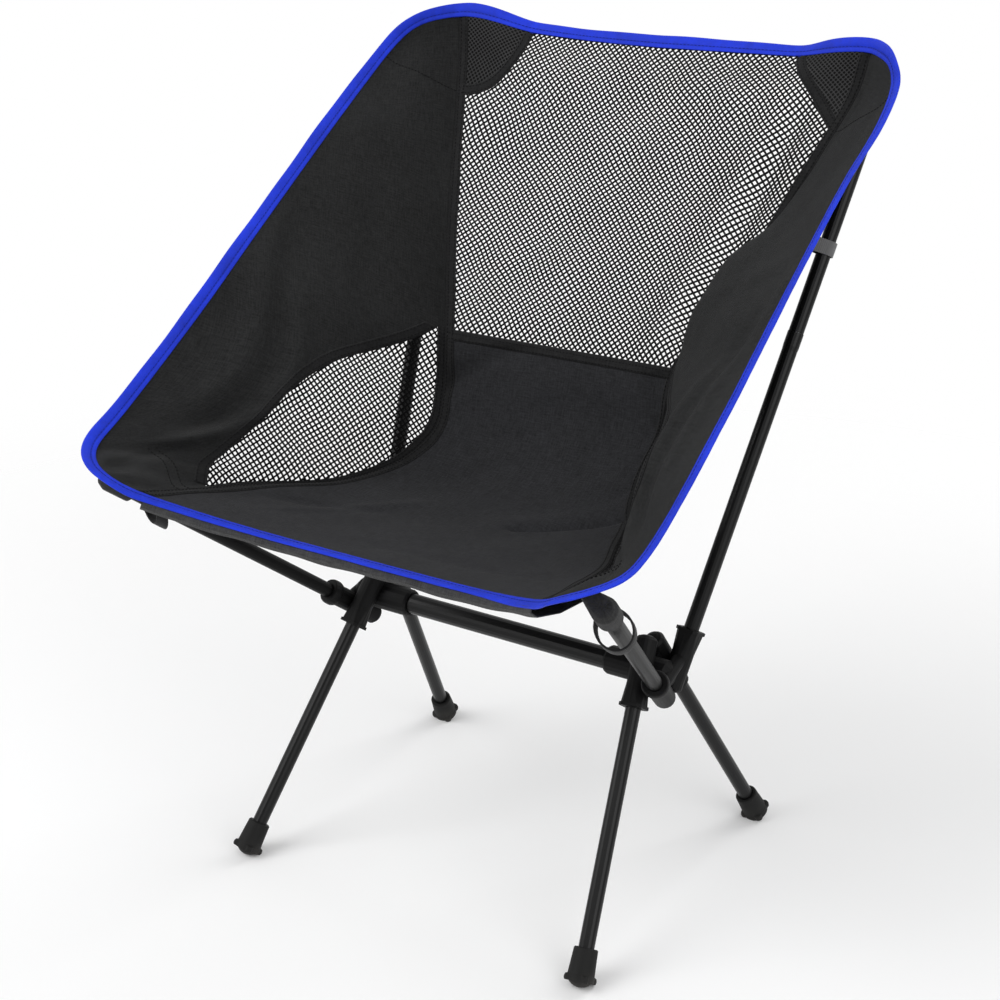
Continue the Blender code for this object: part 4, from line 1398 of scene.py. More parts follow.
@dataclass
class Rim:
    """The line round the sling's edge, with its outward directions and its normals.

    It lies on the bare surfaces, at this spacing. The rounds are how often the line and its normals
    are averaged with their neighbours. A roll begins at a place across and a height, and is whole
    this much further out and lower.
    """

    fineness: int = 6
    spacing: float = 0.003
    normal_rounds: int = 6
    line_rounds: int = 20
    roll_across: tuple[float, float] = (0.10, 0.07)
    roll_height: tuple[float, float] = (0.56, 0.14)

    def __post_init__(self) -> None:
        """Walks the right half from the front's middle to the top's middle, and mirrors it."""
        fineness, corner = self.fineness, SHAPE.window_start
        across = np.linspace(0, 1, 9 * fineness)
        front = SHAPE.body(across[None, :], np.array([0.0, 0.02])[:, None])
        share = np.concatenate(
            [np.linspace(0, corner, 4 * fineness)[:-1], np.linspace(corner, 1, 26 * fineness)]
        )
        height = SHAPE.wing_height(share)[:, None] * np.linspace(0, 1, 4 * fineness)[None, :]
        wing = SHAPE.wing(height, share[:, None])
        top = SHAPE.body(across[None, :], np.array([0.98, 1.0])[:, None])
        line = self.half_way(front, wing, top)
        up = self.half_way(*(self.grid_normals(rows) for rows in (front, wing, top)))
        line = np.vstack([line, line[-2:0:-1] * MIRROR])
        up = np.vstack([up, up[-2:0:-1] * MIRROR])
        run = lengths_along(line, closed=True)
        places = np.arange(0, run[-1], self.spacing)
        closed = np.vstack([line, line[:1]]), np.vstack([up, up[:1]])
        line, up = resampled(closed[0], run, places), resampled(closed[1], run, places)
        for _ in range(self.normal_rounds):
            up = unit(np.roll(up, 1, 0) + 2 * up + np.roll(up, -1, 0))
        for _ in range(self.line_rounds):
            line = (np.roll(line, 1, 0) + 2 * line + np.roll(line, -1, 0)) / 4
        forward = unit(np.roll(line, -1, 0) - np.roll(line, 1, 0))
        self.points, self.normals = line, up
        self.outward = unit(np.cross(forward, up))

    @staticmethod
    def half_way(front: Array, wing: Array, top: Array) -> Array:
        """The values along the right half's edge, from three grids of them."""
        sides = [front[0], wing[0, 1:], wing[1:, -1], wing[-1, -2:0:-1], top[-1, ::-1]]
        return np.vstack(sides)

    def roll_open(self, turn: float) -> None:
        """Rolls the lower right edge outward by this many radians, as its tension does.

        Args:
            turn: the angle.
        """
        (start, width), (top, drop) = self.roll_across, self.roll_height
        across, _, height = self.points.T
        here = (turn * ease((across - start) / width) * ease((top - height) / drop))[:, None]
        outward, normals = self.outward, self.normals
        self.normals = normals * np.cos(here) + outward * np.sin(here)
        self.outward = outward * np.cos(here) - normals * np.sin(here)

    @staticmethod
    def grid_normals(rows: Array) -> Array:
        """A normal on the sitter's side at each point: the sum of those of the faces round it.

        Args:
            rows: a grid of points.

        Returns:
            A unit vector for each point.
        """
        faces = np.cross(rows[1:, 1:] - rows[:-1, :-1], rows[1:, :-1] - rows[:-1, 1:])
        normals = np.zeros_like(rows)
        for row in (slice(None, -1), slice(1, None)):
            for column in (slice(None, -1), slice(1, None)):
                normals[row, column] += faces
        return unit(normals)

    def front_reach(self, half: float) -> Array:
        """The indices of the front edge's points, from left to right, out to half this width.

        Args:
            half: in metres.

        Returns:
            The indices.
        """
        count = len(self.points)
        order = np.arange(-count // 2, count // 2)
        chosen = order[np.abs(self.points[order, 0]) < half]
        return chosen[(self.points[chosen, 1] < -0.12) & (self.points[chosen, 2] < 0.45)]


@dataclass
class EdgeTape:
    """The binding tape: one closed loop, folded over the sling's edge and stitched through.

    The lip is how far it reaches inward over the cloth, and the reach how far outward. Its section
    is moved up by the middle. The roll is how far it rolls open at the lower right, in radians.
    """

    finishes: Finishes
    lip: float = 0.0012
    reach: float = 0.0106
    half: float = 0.00115
    slot: float = 0.00055
    middle: float = -0.0005
    seam_line: float = 0.0030
    roll: float = 0.22
    thread: Thread = Thread(0.0036, 0.0026, 0.00030)
    thread_share: float = 0.86

    def section(self) -> Array:
        """The folded tape's outline, as distances outward and up, with its slot.

        Returns:
            A closed outline, a point a row.
        """
        outer = [
            (-self.lip, self.slot),
            (-self.lip, self.half * 0.85),
            (-self.lip + 0.0006, self.half),
            (self.seam_line - 0.0009, self.half * 1.02),
            (self.seam_line - 0.0003, self.half * 0.80),
            (self.seam_line + 0.0003, self.half * 0.80),
            (self.seam_line + 0.0009, self.half * 1.04),
            (0.0060, self.half * 1.12),
            (self.reach - 0.0020, self.half * 0.98),
            (self.reach - 0.0006, self.half * 0.62),
            (self.reach, 0.0),
        ]
        lower = [(out, -up) for out, up in outer[-2::-1]]
        points = np.array([*outer, *lower, (0.0006, -self.slot), (0.0006, self.slot)])
        points[:, 1] += self.middle
        return points

    def sweep(self, rim: Rim) -> Surface:
        """Carries the section round the rim, with a soft pucker between the stitches.

        The formula: a point of the rim, plus outward and up times the section's distances. Sine
        waves of the distance run stretch the up one, and move the outward one beyond the stitches.

        Args:
            rim: the sling's edge.

        Returns:
            A closed surface.
        """
        section = self.section()
        run = lengths_along(rim.points, closed=True)
        here = run[:-1]
        pucker = 1 + 0.05 * np.sin(here / 0.0055) * np.sin(here / 0.047)
        pucker = pucker + 0.04 * np.sin(here / 0.0021)
        wander = 0.00035 * np.sin(here / 0.031) + 0.0002 * np.sin(here / 0.0113)
        beyond = section[:, 0] > self.seam_line
        out = section[:, 0][None, :] + beyond[None, :] * wander[:, None]
        up = (section[:, 1] - self.middle)[None, :] * pucker[:, None] + self.middle
        grid = rim.points[:, None] + rim.outward[:, None] * out[..., None]
        grid = grid + rim.normals[:, None] * up[..., None]
        across = lengths_along(section, closed=True)
        across = across - across[4]  # the pattern starts in the stitch channel
        pattern = np.stack(np.broadcast_arrays(run[:, None], across[None, :]), -1)
        return Surface(grid, pattern, wrap_rows=True, wrap_columns=True)

    def build(self) -> None:
        """Makes the tape and its stitching on both faces."""
        rim = Rim()
        rim.roll_open(self.roll)
        tape = surface_object("edge_tape", [self.sweep(rim)], self.finishes.tape)
        place(merged(tape, outward=True), "blue_binding", "edge_binding")
        threads = []
        for face in (1, -1):
            lift = self.middle + face * self.half * self.thread_share
            path = rim.points + rim.outward * self.seam_line + rim.normals * lift
            path = np.vstack([path, path[:1]])
            normals = np.vstack([rim.normals, rim.normals[:1]]) * face
            threads += self.thread.surfaces(path, normals)
        item = stitching("edge_tape_stitching", threads, self.finishes.tape_thread)
        place(item, "blue_binding")


@dataclass
class SlingNets:
    """The open nets of the back and the windows, and the fine mesh of the two top corners.

    The depth is how far a net's middle lies behind the panels' front. The pulls are the heights of
    the waves that make a net uneven. The halves are those of the flat patterns laid on the sling.
    A face that a cut leaves under the smallest size, twice its area, is dropped.
    """

    cloth: SlingCloth
    cell: float = 0.0040
    strand: float = 0.0015
    depth: float = 0.0004
    thickness: float = 0.0007
    back_pull: float = 0.0010
    window_pull: float = 0.0008
    back_half: float = 0.21
    window_half: float = 0.26
    smallest: float = 2e-8

    @property
    def cover(self) -> float:
        """The share of an open net that is yarn: 1 - (1 - strand / cell)^2."""
        return 1 - (1 - self.strand / self.cell) ** 2

    def cells(self, width: tuple[float, float], length: tuple[float, float]) -> Array:
        """Diamond cells over a rectangle: for each, its four corners and four of its hole.

        The centres lie on a grid whose every second row is moved half a cell. A corner is the
        centre plus half the diagonal along one axis, and the hole's is nearer by a strand.

        Args:
            width: the first and last place across.
            length: the first and last place along.

        Returns:
            An array of cells by 8 places by 2 coordinates.
        """
        diagonal = self.cell * math.sqrt(2)
        low, high = (value / diagonal * 2 for value in length)
        rows = np.arange(math.floor(low) - 1, math.ceil(high) + 2)
        low, high = (value / diagonal for value in width)
        columns = np.arange(math.floor(low) - 1, math.ceil(high) + 2)
        row, column = np.meshgrid(rows, columns, indexing="ij")
        centre = np.stack([(column + (row % 2) / 2) * diagonal, row * diagonal / 2], -1)
        corner = np.array([(1, 0), (0, 1), (-1, 0), (0, -1)]) * diagonal / 2
        corners = np.vstack([corner, corner * (1 - self.strand / self.cell)])
        return centre.reshape(-1, 1, 2) + corners[None]

    @staticmethod
    def stretch(cells: Array, amount: float, seed: int) -> Array:
        """Uneven pull in the net: every place moves by a few soft waves.

        Args:
            cells: places in metres.
            amount: the waves' height in metres.
            seed: the seed of their draw.

        Returns:
            The moved places.
        """
        across = Ripples(amount, 0.11, 0.035, seed).relief(cells[..., 0], cells[..., 1])
        along = Ripples(amount, 0.11, 0.035, seed + 1).relief(cells[..., 0], cells[..., 1])
        return cells + np.stack([across, along], -1)

    @staticmethod
    def faces(count: int) -> Array:
        """Four faces a cell, each between an outer side and the hole's side.

        Args:
            count: how many cells.

        Returns:
            Four point indices a face.
        """
        base = np.arange(count)[:, None, None] * 8
        turn = np.arange(4)
        ring = np.stack([turn, (turn + 1) % 4, (turn + 1) % 4 + 4, turn + 4], -1)
        return (base + ring[None]).reshape(-1, 4)

    def net(self, name: str, cells: Array, points: Array) -> Any:
        """A net from its cells' places and points, without the faces that a cut has flattened.

        Args:
            name: the piece's name.
            cells: the cells' pattern places.
            points: their points on the sling.

        Returns:
            The new object.
        """
        corners = points.reshape(-1, 3)
        faces = self.faces(len(cells))
        first, second, third, fourth = (corners[faces[:, number]] for number in range(4))
        size = np.linalg.norm(np.cross(third - first, fourth - second), axis=1)
        faces = faces[size > self.smallest]
        pattern = cells.reshape(-1, 2)[faces]
        item = mesh_object(name, corners, faces, pattern, self.cloth.finishes.net)
        return thicken(merged(item, 4e-6), self.thickness, 0.0)

    def build(self) -> None:
        """Makes the three nets and the two corner patches."""
        self.build_back()
        for side in Side:
            self.build_window(side)
            self.build_patch(side)

    def build_back(self) -> None:
        """The back's net: cells placed by metres across and along, cut where the net ends."""
        share, run = self.cloth.share, self.cloth.distance
        start = float(np.interp(SHAPE.back_start, share, run))
        cells = self.cells((-self.back_half, self.back_half), (start, run[-1]))
        places = self.stretch(cells, self.back_pull, 3)
        held = np.clip(places[..., 1], start + 0.0002, run[-1] - 0.0002)
        along = np.interp(held, run, share)
        side = SHAPE.seam(along)[..., 0]
        right = places[..., 0] > 0
        reach = np.where(
            right, SHAPE.patch_reach(along, Side.RIGHT), SHAPE.patch_reach(along, Side.LEFT)
        )
        limit = reach * (1 - SEWN_GAP / side)
        across = np.clip(places[..., 0] / side, -limit, limit)
        inside = (places[..., 1] > start) & (places[..., 1] < run[-1])
        inside &= np.abs(places[..., 0] / side) < limit
        keep = inside.any(axis=1)
        across, along, cells = across[keep], along[keep], places[keep]
        points = self.cloth.body.point(across, along, -self.depth)
        item = self.net("back_netting", cells, points)
        place(item, "open_net", "back_net")
        area = area_of(item) / self.cover

    @staticmethod
    def window_places(cells: Array) -> tuple[Array, Array, Array]:
        """The wing places under a flat pattern laid over the window.

        The pattern's axes stand at 45 degrees to the line between the window's ends. The nearest
        place of a coarse grid is improved by Newton's method, with its slopes from small steps.

        Args:
            cells: pattern places in metres, with the two coordinates last.

        Returns:
            The cells near the window, and the heights and shares of their places.
        """
        ends = np.array([SHAPE.window_start, SHAPE.back_start])
        low, high = SHAPE.wing(SHAPE.window_margin, ends)
        chord = unit(high - low)
        up = SHAPE.wing(0.13, 0.3) - SHAPE.wing(0.0, 0.3)
        up = unit(up - chord * (up @ chord))
        axes = np.stack([chord + up, up - chord]) / math.sqrt(2)

        def flat(height: Array, share: Array) -> Array:
            """The pattern place over each wing place."""
            return (SHAPE.wing(height, share) - low) @ axes.T

        coarse_h, coarse_s = np.meshgrid(np.linspace(0, 0.16, 17), np.linspace(0.05, 0.65, 41))
        known = flat(coarse_h.ravel(), coarse_s.ravel())
        spare = 0.01
        close = (cells > known.min(0) - spare) & (cells < known.max(0) + spare)
        target = cells[close.all(-1).all(-1)]
        shape, target = target.shape[:-1], target.reshape(-1, 2)
        near = ((target[:, None] - known[None]) ** 2).sum(-1).argmin(1)
        height, share = coarse_h.ravel()[near], coarse_s.ravel()[near]
        for _ in range(8):
            here = flat(height, share)
            by_height = (flat(height + 1e-4, share) - here) / 1e-4
            by_share = (flat(height, share + 1e-4) - here) / 1e-4
            miss = target - here
            area = by_height[:, 0] * by_share[:, 1] - by_height[:, 1] * by_share[:, 0]
            step_h = (miss[:, 0] * by_share[:, 1] - miss[:, 1] * by_share[:, 0]) / area
            step_s = (by_height[:, 0] * miss[:, 1] - by_height[:, 1] * miss[:, 0]) / area
            height = np.clip(height + np.clip(step_h, -0.02, 0.02), -0.03, 0.22)
            share = np.clip(share + np.clip(step_s, -0.05, 0.05), 0.02, 0.72)
        return target.reshape(*shape, 2), height.reshape(shape), share.reshape(shape)

    def build_window(self, side: Side) -> None:
        """A window's net: a flat pattern of cells, laid on the wing and cut where the net ends.

        Args:
            side: its side of the chair.
        """
        span = (-self.window_half, self.window_half)
        cells = self.stretch(self.cells(span, span), self.window_pull, 17)
        cells, height, share = self.window_places(cells)
        along = np.clip(share, SHAPE.window_start + 0.0005, SHAPE.back_start - 0.0005)
        low, high = SHAPE.window_margin + SEWN_GAP, SHAPE.window_top(along) - SEWN_GAP
        inside = (share > SHAPE.window_start) & (share < SHAPE.back_start)
        inside &= (height > low) & (height < high)
        height = np.clip(height, low, np.maximum(high, low))
        keep = inside.any(axis=1)
        height, along, cells = height[keep], along[keep], cells[keep]
        points = self.cloth.wings[side].point(height, along, -self.depth)
        if side is Side.LEFT:
            points = points * MIRROR
        item = self.net(f"window_netting_{side.word}", cells, points)
        place(item, "open_net", f"window_net_{side.word}")
        area = area_of(item) / self.cover

    def build_patch(self, side: Side) -> None:
        """A top corner's fine mesh: a grid from the net's curved edge to the side seam.

        Args:
            side: its side of the chair.
        """
        angle = np.linspace(0.02, math.pi / 2, 49)[:, None]
        share = 1 - SHAPE.patch_drop * np.cos(angle)
        inset = SEWN_GAP / SHAPE.seam(share)[..., 0]
        start = SHAPE.patch_reach(share, side) + inset
        across = start + (1 - inset - start) * np.linspace(0, 1, 41)[None, :]
        across, share = np.broadcast_arrays(across, share)
        surface = self.cloth.body_surface(*on_body(side, across, share))
        item = surface_object(f"corner_mesh_{side.word}", [surface], self.cloth.finishes.mesh)
        thicken(item, PANEL_THICKNESS)
        place(item, "fine_mesh", f"top_corner_patch_{side.word}")
        area = area_of(item)


@dataclass
class Hems:
    """The folded hems and flat seams of the sling, with their lines of stitching.

    The rises are how far a hem's middle and its stitches stand over the cloth. The stitches' places
    are distances from the hem's inner line in metres, but shares of the width for the window's hem.
    A line across a wing starts at a share along and gains a reach times a power of the share up.
    The two front ones lie a gap apart and end at a share of the wing's height.
    """

    cloth: SlingCloth
    thickness: float = 0.0006
    rise: float = 0.0008
    stitch_rise: float = 0.00085
    patch_rise: float = 0.0009
    patch_stitch_rise: float = 0.00095
    flat_stitch_rise: float = 0.0002
    seam_width: float = 0.009
    seam_stitches: tuple[float, float] = (0.0020, 0.0070)
    window_width: float = 0.0085
    window_widest: float = 0.020
    window_stitches: tuple[float, float] = (0.22, 0.80)
    lower_stitches: tuple[float, float] = (0.0018, 0.0064)
    patch_reach: tuple[float, float] = (-0.003, 0.0062)
    patch_stitches: tuple[float, float] = (-0.0010, 0.0042)
    back_reach: tuple[float, float] = (-0.0078, 0.0016)
    back_stitches: tuple[float, float] = (-0.0064, -0.0018)
    fold_radius: float = 0.0010
    top_line: tuple[float, float, float] = (0.885, 0.050, 1.3)
    front_line: tuple[float, float, float] = (0.056, 0.102, 1.6)
    front_gap: float = 0.012
    front_height: float = 0.78
    threads: list[Surface] = field(default_factory=list)

    @staticmethod
    def crown(count: int, lift: float) -> Array:
        """The lift across a hem: low at both edges and level between."""
        across = np.linspace(-1, 1, count)
        return lift * (0.45 + 0.55 * np.sqrt(np.clip(1 - across**6, 0, 1)))

    def hem(
        self, name: str, slot: str, cloth: Cloth, a: Array, b: Array, side: Side, lift: float
    ) -> None:
        """Makes a hem on a cloth: a grid of places, raised by its crown.

        Args:
            name: the piece's name, without its side.
            slot: its finish slot's name.
            cloth: the cloth that it lies on.
            a: the first place of each point, by rows along the hem and columns across it.
            b: the second place.
            side: its side of the chair.
            lift: how far its middle stands over the cloth.
        """
        a, b = np.broadcast_arrays(a, b)
        crown = self.crown(a.shape[1], lift)[None, :]
        if cloth is self.cloth.body:
            surface = self.cloth.body_surface(*on_body(side, a, b), crown)
        else:
            surface = self.cloth.wing_surface(side, a, b, crown)
        self.band(f"{name}_{side.word}", slot, surface)

    def sew(self, cloth: Cloth, a: Array, b: Array, side: Side, lift: float) -> None:
        """Adds a line of stitches on a hem.

        Args:
            cloth: the cloth that the hem lies on.
            a: the first coordinates.
            b: the second coordinates.
            side: its side of the chair.
            lift: how far the stitches stand over the cloth, in metres.
        """
        a, b = np.broadcast_arrays(a, b)
        body = cloth is self.cloth.body
        a = a * side.value if body else a
        path, normal = cloth.point(a, b, lift), cloth.normal(a, b)
        if side is Side.LEFT and not body:
            path, normal = path * MIRROR, normal * MIRROR
        self.threads += Thread().surfaces(path, normal)

    def band(self, name: str, slot: str, surface: Surface) -> None:
        """Gives a hem's front surface its thickness and its place on the chair."""
        item = surface_object(name, [surface], self.cloth.finishes.hem)
        place(thicken(item, self.thickness), slot)

    def build(self) -> None:
        """Makes every hem, then all the stitching as one piece."""
        for side in Side:
            self.side_seam(side)
            self.window_hem(side)
            self.patch_hem(side)
            self.lower_hem(side)
            self.seam_fold(side)
            self.wing_stitches(side)
        self.back_seam()
        item = stitching("hem_stitching", self.threads, self.cloth.finishes.thread)
        place(item, "wing_cloth")

    def side_seam(self, side: Side) -> None:
        """The flat seam beside a wing, on the seat and back, with two stitch lines.

        Args:
            side: its side of the chair.
        """
        body = self.cloth.body
        share = np.linspace(0.004, 0.996, 220)[:, None]
        edge = SHAPE.seam(share)[..., 0]
        across = 1 - (self.seam_width * np.linspace(1, 0.03, 9)[None, :]) / edge
        self.hem("side_seam", "wing_cloth", body, across, share, side, self.rise)
        for inward in self.seam_stitches:
            self.sew(body, 1 - inward / edge[:, 0], share[:, 0], side, self.stitch_rise)

    def window_hem(self, side: Side) -> None:
        """The hem over a window: its width is measured square to the hem's own line.

        Args:
            side: its side of the chair.
        """
        wing = self.cloth.wings[side]
        share = np.linspace(SHAPE.window_start + 0.0015, SHAPE.back_start - 0.0015, 200)
        top = SHAPE.window_top(share)
        run = np.interp(share, self.cloth.seam_share, self.cloth.seam_distance)
        slope = np.gradient(top, run)
        wide = np.minimum(self.window_width * np.sqrt(1 + slope**2), self.window_widest)
        height = top[:, None] + wide[:, None] * np.linspace(-0.05, 1, 9)[None, :]
        self.hem("window_hem", "wing_cloth", wing, height, share[:, None], side, self.rise)
        for upward in self.window_stitches:
            self.sew(wing, top + wide * upward, share, side, self.stitch_rise)

    def lower_hem(self, side: Side) -> None:
        """The hem under a window, beside the seam, with two stitch lines.

        Args:
            side: its side of the chair.
        """
        wing = self.cloth.wings[side]
        share = np.linspace(SHAPE.window_start + 0.002, SHAPE.back_start, 160)[:, None]
        height = SHAPE.window_margin * np.linspace(0.04, 1.04, 9)[None, :] + 0 * share
        self.hem("wing_seam", "wing_cloth", wing, height, share, side, self.rise)
        for upward in self.lower_stitches:
            self.sew(wing, upward + 0 * share[:, 0], share[:, 0], side, self.stitch_rise)

    def patch_hem(self, side: Side) -> None:
        """The curved hem between the net and a corner patch, with two stitch lines.

        Args:
            side: its side of the chair.
        """
        angle = np.linspace(0.06, math.pi / 2 - 0.03, 90)[:, None]
        offset = np.linspace(*self.patch_reach, 9)[None, :]
        share, across = self.patch_line(side, angle, offset)
        body = self.cloth.body
        self.hem("patch_hem", "fine_mesh", body, across, share, side, self.patch_rise)
        for inward in self.patch_stitches:
            share, across = self.patch_line(side, angle[:, 0], inward)
            self.sew(body, across, share, side, self.patch_stitch_rise)

    def patch_line(self, side: Side, angle: Array, offset: Array | float) -> tuple[Array, Array]:
        """Places this far inside a corner patch's curved edge.

        Args:
            side: its side of the chair.
            angle: where along the edge, from 0 at the side seam to a quarter turn at the top edge.
            offset: how far from it, in metres, towards the corner.

        Returns:
            The shares along, and the shares across.
        """
        share = 1 - SHAPE.patch_drop * np.cos(angle)
        u = SHAPE.patch_reach(share, side) * SHAPE.seam(share)[..., 0]
        v = np.interp(share, self.cloth.share, self.cloth.distance)
        along_u, along_v = np.gradient(u, axis=0), np.gradient(v, axis=0)
        size = np.hypot(along_u, along_v)
        u, v = u + offset * along_v / size, v - offset * along_u / size
        share = np.interp(v, self.cloth.distance, self.cloth.share)
        return share, np.minimum(u / SHAPE.seam(share)[..., 0], 0.998)

    def seam_fold(self, side: Side) -> None:
        """The rolled fold on a side seam: a thin tube of cloth along it, of wavering radius.

        Args:
            side: its side of the chair.
        """
        share = np.linspace(0.003, 0.997, 260)
        path = SHAPE.seam(share)
        ahead = unit(np.gradient(path, axis=0))
        inner = unit(SHAPE.body(0.97, share) - path)
        up = unit(SHAPE.wing(0.01, share) - path)
        first = unit(inner + up)
        second = np.cross(ahead, first)
        turn = np.arange(8) * math.pi / 4
        radius = self.fold_radius + 0.0001 * np.sin(lengths_along(path) / 0.0019)
        ring = np.cos(turn)[:, None, None] * first + np.sin(turn)[:, None, None] * second
        grid = path[:, None] + radius[:, None, None] * ring.transpose(1, 0, 2)
        across = np.linspace(0, 2 * math.pi, 9) * self.fold_radius
        pattern = np.stack(np.broadcast_arrays(lengths_along(path)[:, None], across[None, :]), -1)
        surface = Surface(grid, pattern, wrap_columns=True).on(side)
        item = surface_object(f"seam_fold_{side.word}", [surface], self.cloth.finishes.hem)
        place(merged(item, outward=True), "wing_cloth")

    def wing_stitches(self, side: Side) -> None:
        """Stitch lines across a wing: one at the top corner patch and two at the front corner.

        Args:
            side: its side of the chair.
        """
        step = np.linspace(0.01, 0.97, 60)
        start, reach, power = self.top_line
        lines = [(start + reach * step**power, step)]
        start, reach, power = self.front_line
        for ahead in (0.0, self.front_gap):
            lines.append((start + ahead + reach * step**power, self.front_height * step))
        for share, reach in lines:
            height = SHAPE.wing_height(share) * reach
            self.sew(self.cloth.wings[side], height, share, side, self.flat_stitch_rise)

    def back_seam(self) -> None:
        """The seam between seat and back: a band of folded cloth with two stitch lines."""
        start = float(np.interp(SHAPE.back_start, self.cloth.share, self.cloth.distance))
        places = start + np.linspace(*self.back_reach, 9)[:, None]
        share = np.interp(places, self.cloth.distance, self.cloth.share)
        across = np.linspace(-0.985, 0.985, 120)[None, :]
        across, share = np.broadcast_arrays(across, share)
        crown = self.crown(9, self.rise)[:, None]
        self.band("back_seam", "seat_cloth", self.cloth.body_surface(across, share, crown))
        line = np.linspace(-0.98, 0.98, 120)
        for offset in self.back_stitches:
            share = np.interp(start + offset, self.cloth.distance, self.cloth.share)
            level = np.full(len(line), share)
            self.sew(self.cloth.body, line, level, Side.RIGHT, self.stitch_rise)


@dataclass
class PoleFittings:
    """The pockets over the pole tips, the pull loops, and the tabs that tie the sling to the poles.

    A voxel is the grain that a pocket is remeshed at. A wrap radius turns an angle round the pole
    into metres of pattern. The swell thickens a pull loop, and the bevel softens a band's edges.
    """

    finishes: Finishes
    front_voxel: float = 0.0008
    top_voxel: float = 0.0006
    relaxing: int = 5
    pocket_wrap: float = 0.0085
    webbing_wrap: float = 0.012
    swell: float = 0.0003
    bevel: float = 0.0003

    def build(self) -> None:
        """Makes both sides' fittings."""
        for side in Side:
            self.soften("front_pocket", side, SEAT_POLE, self.front_voxel)
            self.soften("top_pocket", side, BACK_POLE, self.top_voxel)
            self.webbing("pull_loop", side, SEAT_POLE, self.finishes.webbing, "black_webbing")
            self.webbing("back_tab", side, BACK_POLE, self.finishes.tab, "grey_webbing")

    @staticmethod
    def copied(word: str, side: Side, kind: str, finish: Any) -> Any:
        """A copy of a plain piece, with its points joined and a finish of its own.

        Args:
            word: the start of the plain piece's name.
            side: its side of the chair.
            kind: the word that the new piece's name adds.
            finish: its material.

        Returns:
            The new object.
        """
        source = bpy.data.objects[f"{word}_{side.word}"]
        item = bpy.data.objects.new(f"{word}_{kind}_{side.word}", source.data.copy())
        bpy.context.scene.collection.objects.link(item)
        item.data.materials.clear()
        item.data.materials.append(finish)
        return merged(item, 1e-5)

    @staticmethod
    def wrap(item: Any, side: Side, axis: PoleAxis, radius: float) -> None:
        """Lays the pattern round a pole: the angle times a radius, and the distance along it.

        Args:
            item: the piece.
            side: its side of the chair.
            axis: the right side's pole.
            radius: in metres.
        """
        mesh = item.data
        points = np.zeros(len(mesh.vertices) * 3, np.float32)
        mesh.vertices.foreach_get("co", points)
        points = points.reshape(-1, 3).astype(float)
        local = points * np.array([side.value, 1, 1]) - axis.at(0.0)
        first, second = axis.frame()
        turn = np.arctan2(local @ second, local @ first)
        loops = np.zeros(len(mesh.loops), np.int32)
        mesh.loops.foreach_get("vertex_index", loops)
        pattern = np.stack([turn * radius, local @ axis.direction()], -1)[loops]
        layer = mesh.uv_layers.get("pattern") or mesh.uv_layers.new(name="pattern")
        layer.data.foreach_set("uv", pattern.astype(np.float32).ravel())

    def soften(self, word: str, side: Side, axis: PoleAxis, voxel: float) -> None:
        """A sewn pocket: the plain cup, remeshed and relaxed so that its edges are round.

        Args:
            word: the start of the cup's name.
            side: its side of the chair.
            axis: the pole in it, on the right side.
            voxel: the grain, in metres.
        """
        item = self.copied(word, side, "cloth", self.finishes.pocket)
        remesh = item.modifiers.new("remesh", "REMESH")
        remesh.mode = "VOXEL"
        remesh.voxel_size = voxel
        smooth = item.modifiers.new("smooth", "SMOOTH")
        smooth.iterations = self.relaxing
        bpy.context.view_layer.update()
        graph = bpy.context.evaluated_depsgraph_get()
        mesh = bpy.data.meshes.new_from_object(item.evaluated_get(graph))
        item.modifiers.clear()
        item.data = mesh
        mesh.shade_smooth()
        self.wrap(item, side, axis, self.pocket_wrap)
        place(item, "pocket_cloth", f"{word}_{side.word}")

    def webbing(self, word: str, side: Side, axis: PoleAxis, finish: Any, slot: str) -> None:
        """A webbing band: the plain ring with softened edges, and a pull loop a little thicker.

        Args:
            word: the start of the ring's name.
            side: its side of the chair.
            axis: the pole in it, on the right side.
            finish: its material.
            slot: its finish slot's name.
        """
        item = self.copied(word, side, "webbing", finish)
        if word == "pull_loop":
            swell = item.modifiers.new("swell", "DISPLACE")
            swell.strength, swell.mid_level = self.swell, 0.0
        bevel = item.modifiers.new("edges", "BEVEL")
        bevel.width = self.bevel
        bevel.segments = 2
        bevel.limit_method = "ANGLE"
        item.data.shade_smooth()
        self.wrap(item, side, axis, self.webbing_wrap)
        place(item, slot, f"{word}_{side.word}")


@dataclass
class FramePaint:
    """The finishes of the frame's own pieces, which keep their shape."""

    finishes: Finishes

    def table(self) -> dict[str, Any]:
        """The finish for the start of each piece's name."""
        made = self.finishes
        return {
            "crossbar": made.crossbar,
            "hub": made.hub,
            "front_foot": made.rubber,
            "rear_foot": made.rubber,
            "seat_pole_tip": made.tip,
            "back_pole_tip": made.tip,
            "back_pole_ferrule": made.ferrule,
            "front_leg_cord": made.cord,
            "rear_leg_cord": made.cord,
            "seat_pole_cord": made.cord,
            "back_pole_cord": made.cord,
            "front_leg": made.pole,
            "rear_leg": made.pole,
            # The seat poles take the darker copy of the pole paint, as painted shade.
            "seat_pole": made.seat_pole,
            "back_pole": made.pole,
        }

    def apply(self, nodes: Mapping[str, Any]) -> None:
        """Gives each frame piece the finish of the longest name that its own starts with."""
        table = self.table()
        for name, node in nodes.items():
            found = [key for key in table if name.startswith(key)]
            if not found:
                continue
            finish = table[max(found, key=len)]
            for slot in node.material_slots:
                slot.material = finish
            if not node.material_slots:
                node.data.materials.append(finish)
            log.info("%s: painted %s", name, finish.name)


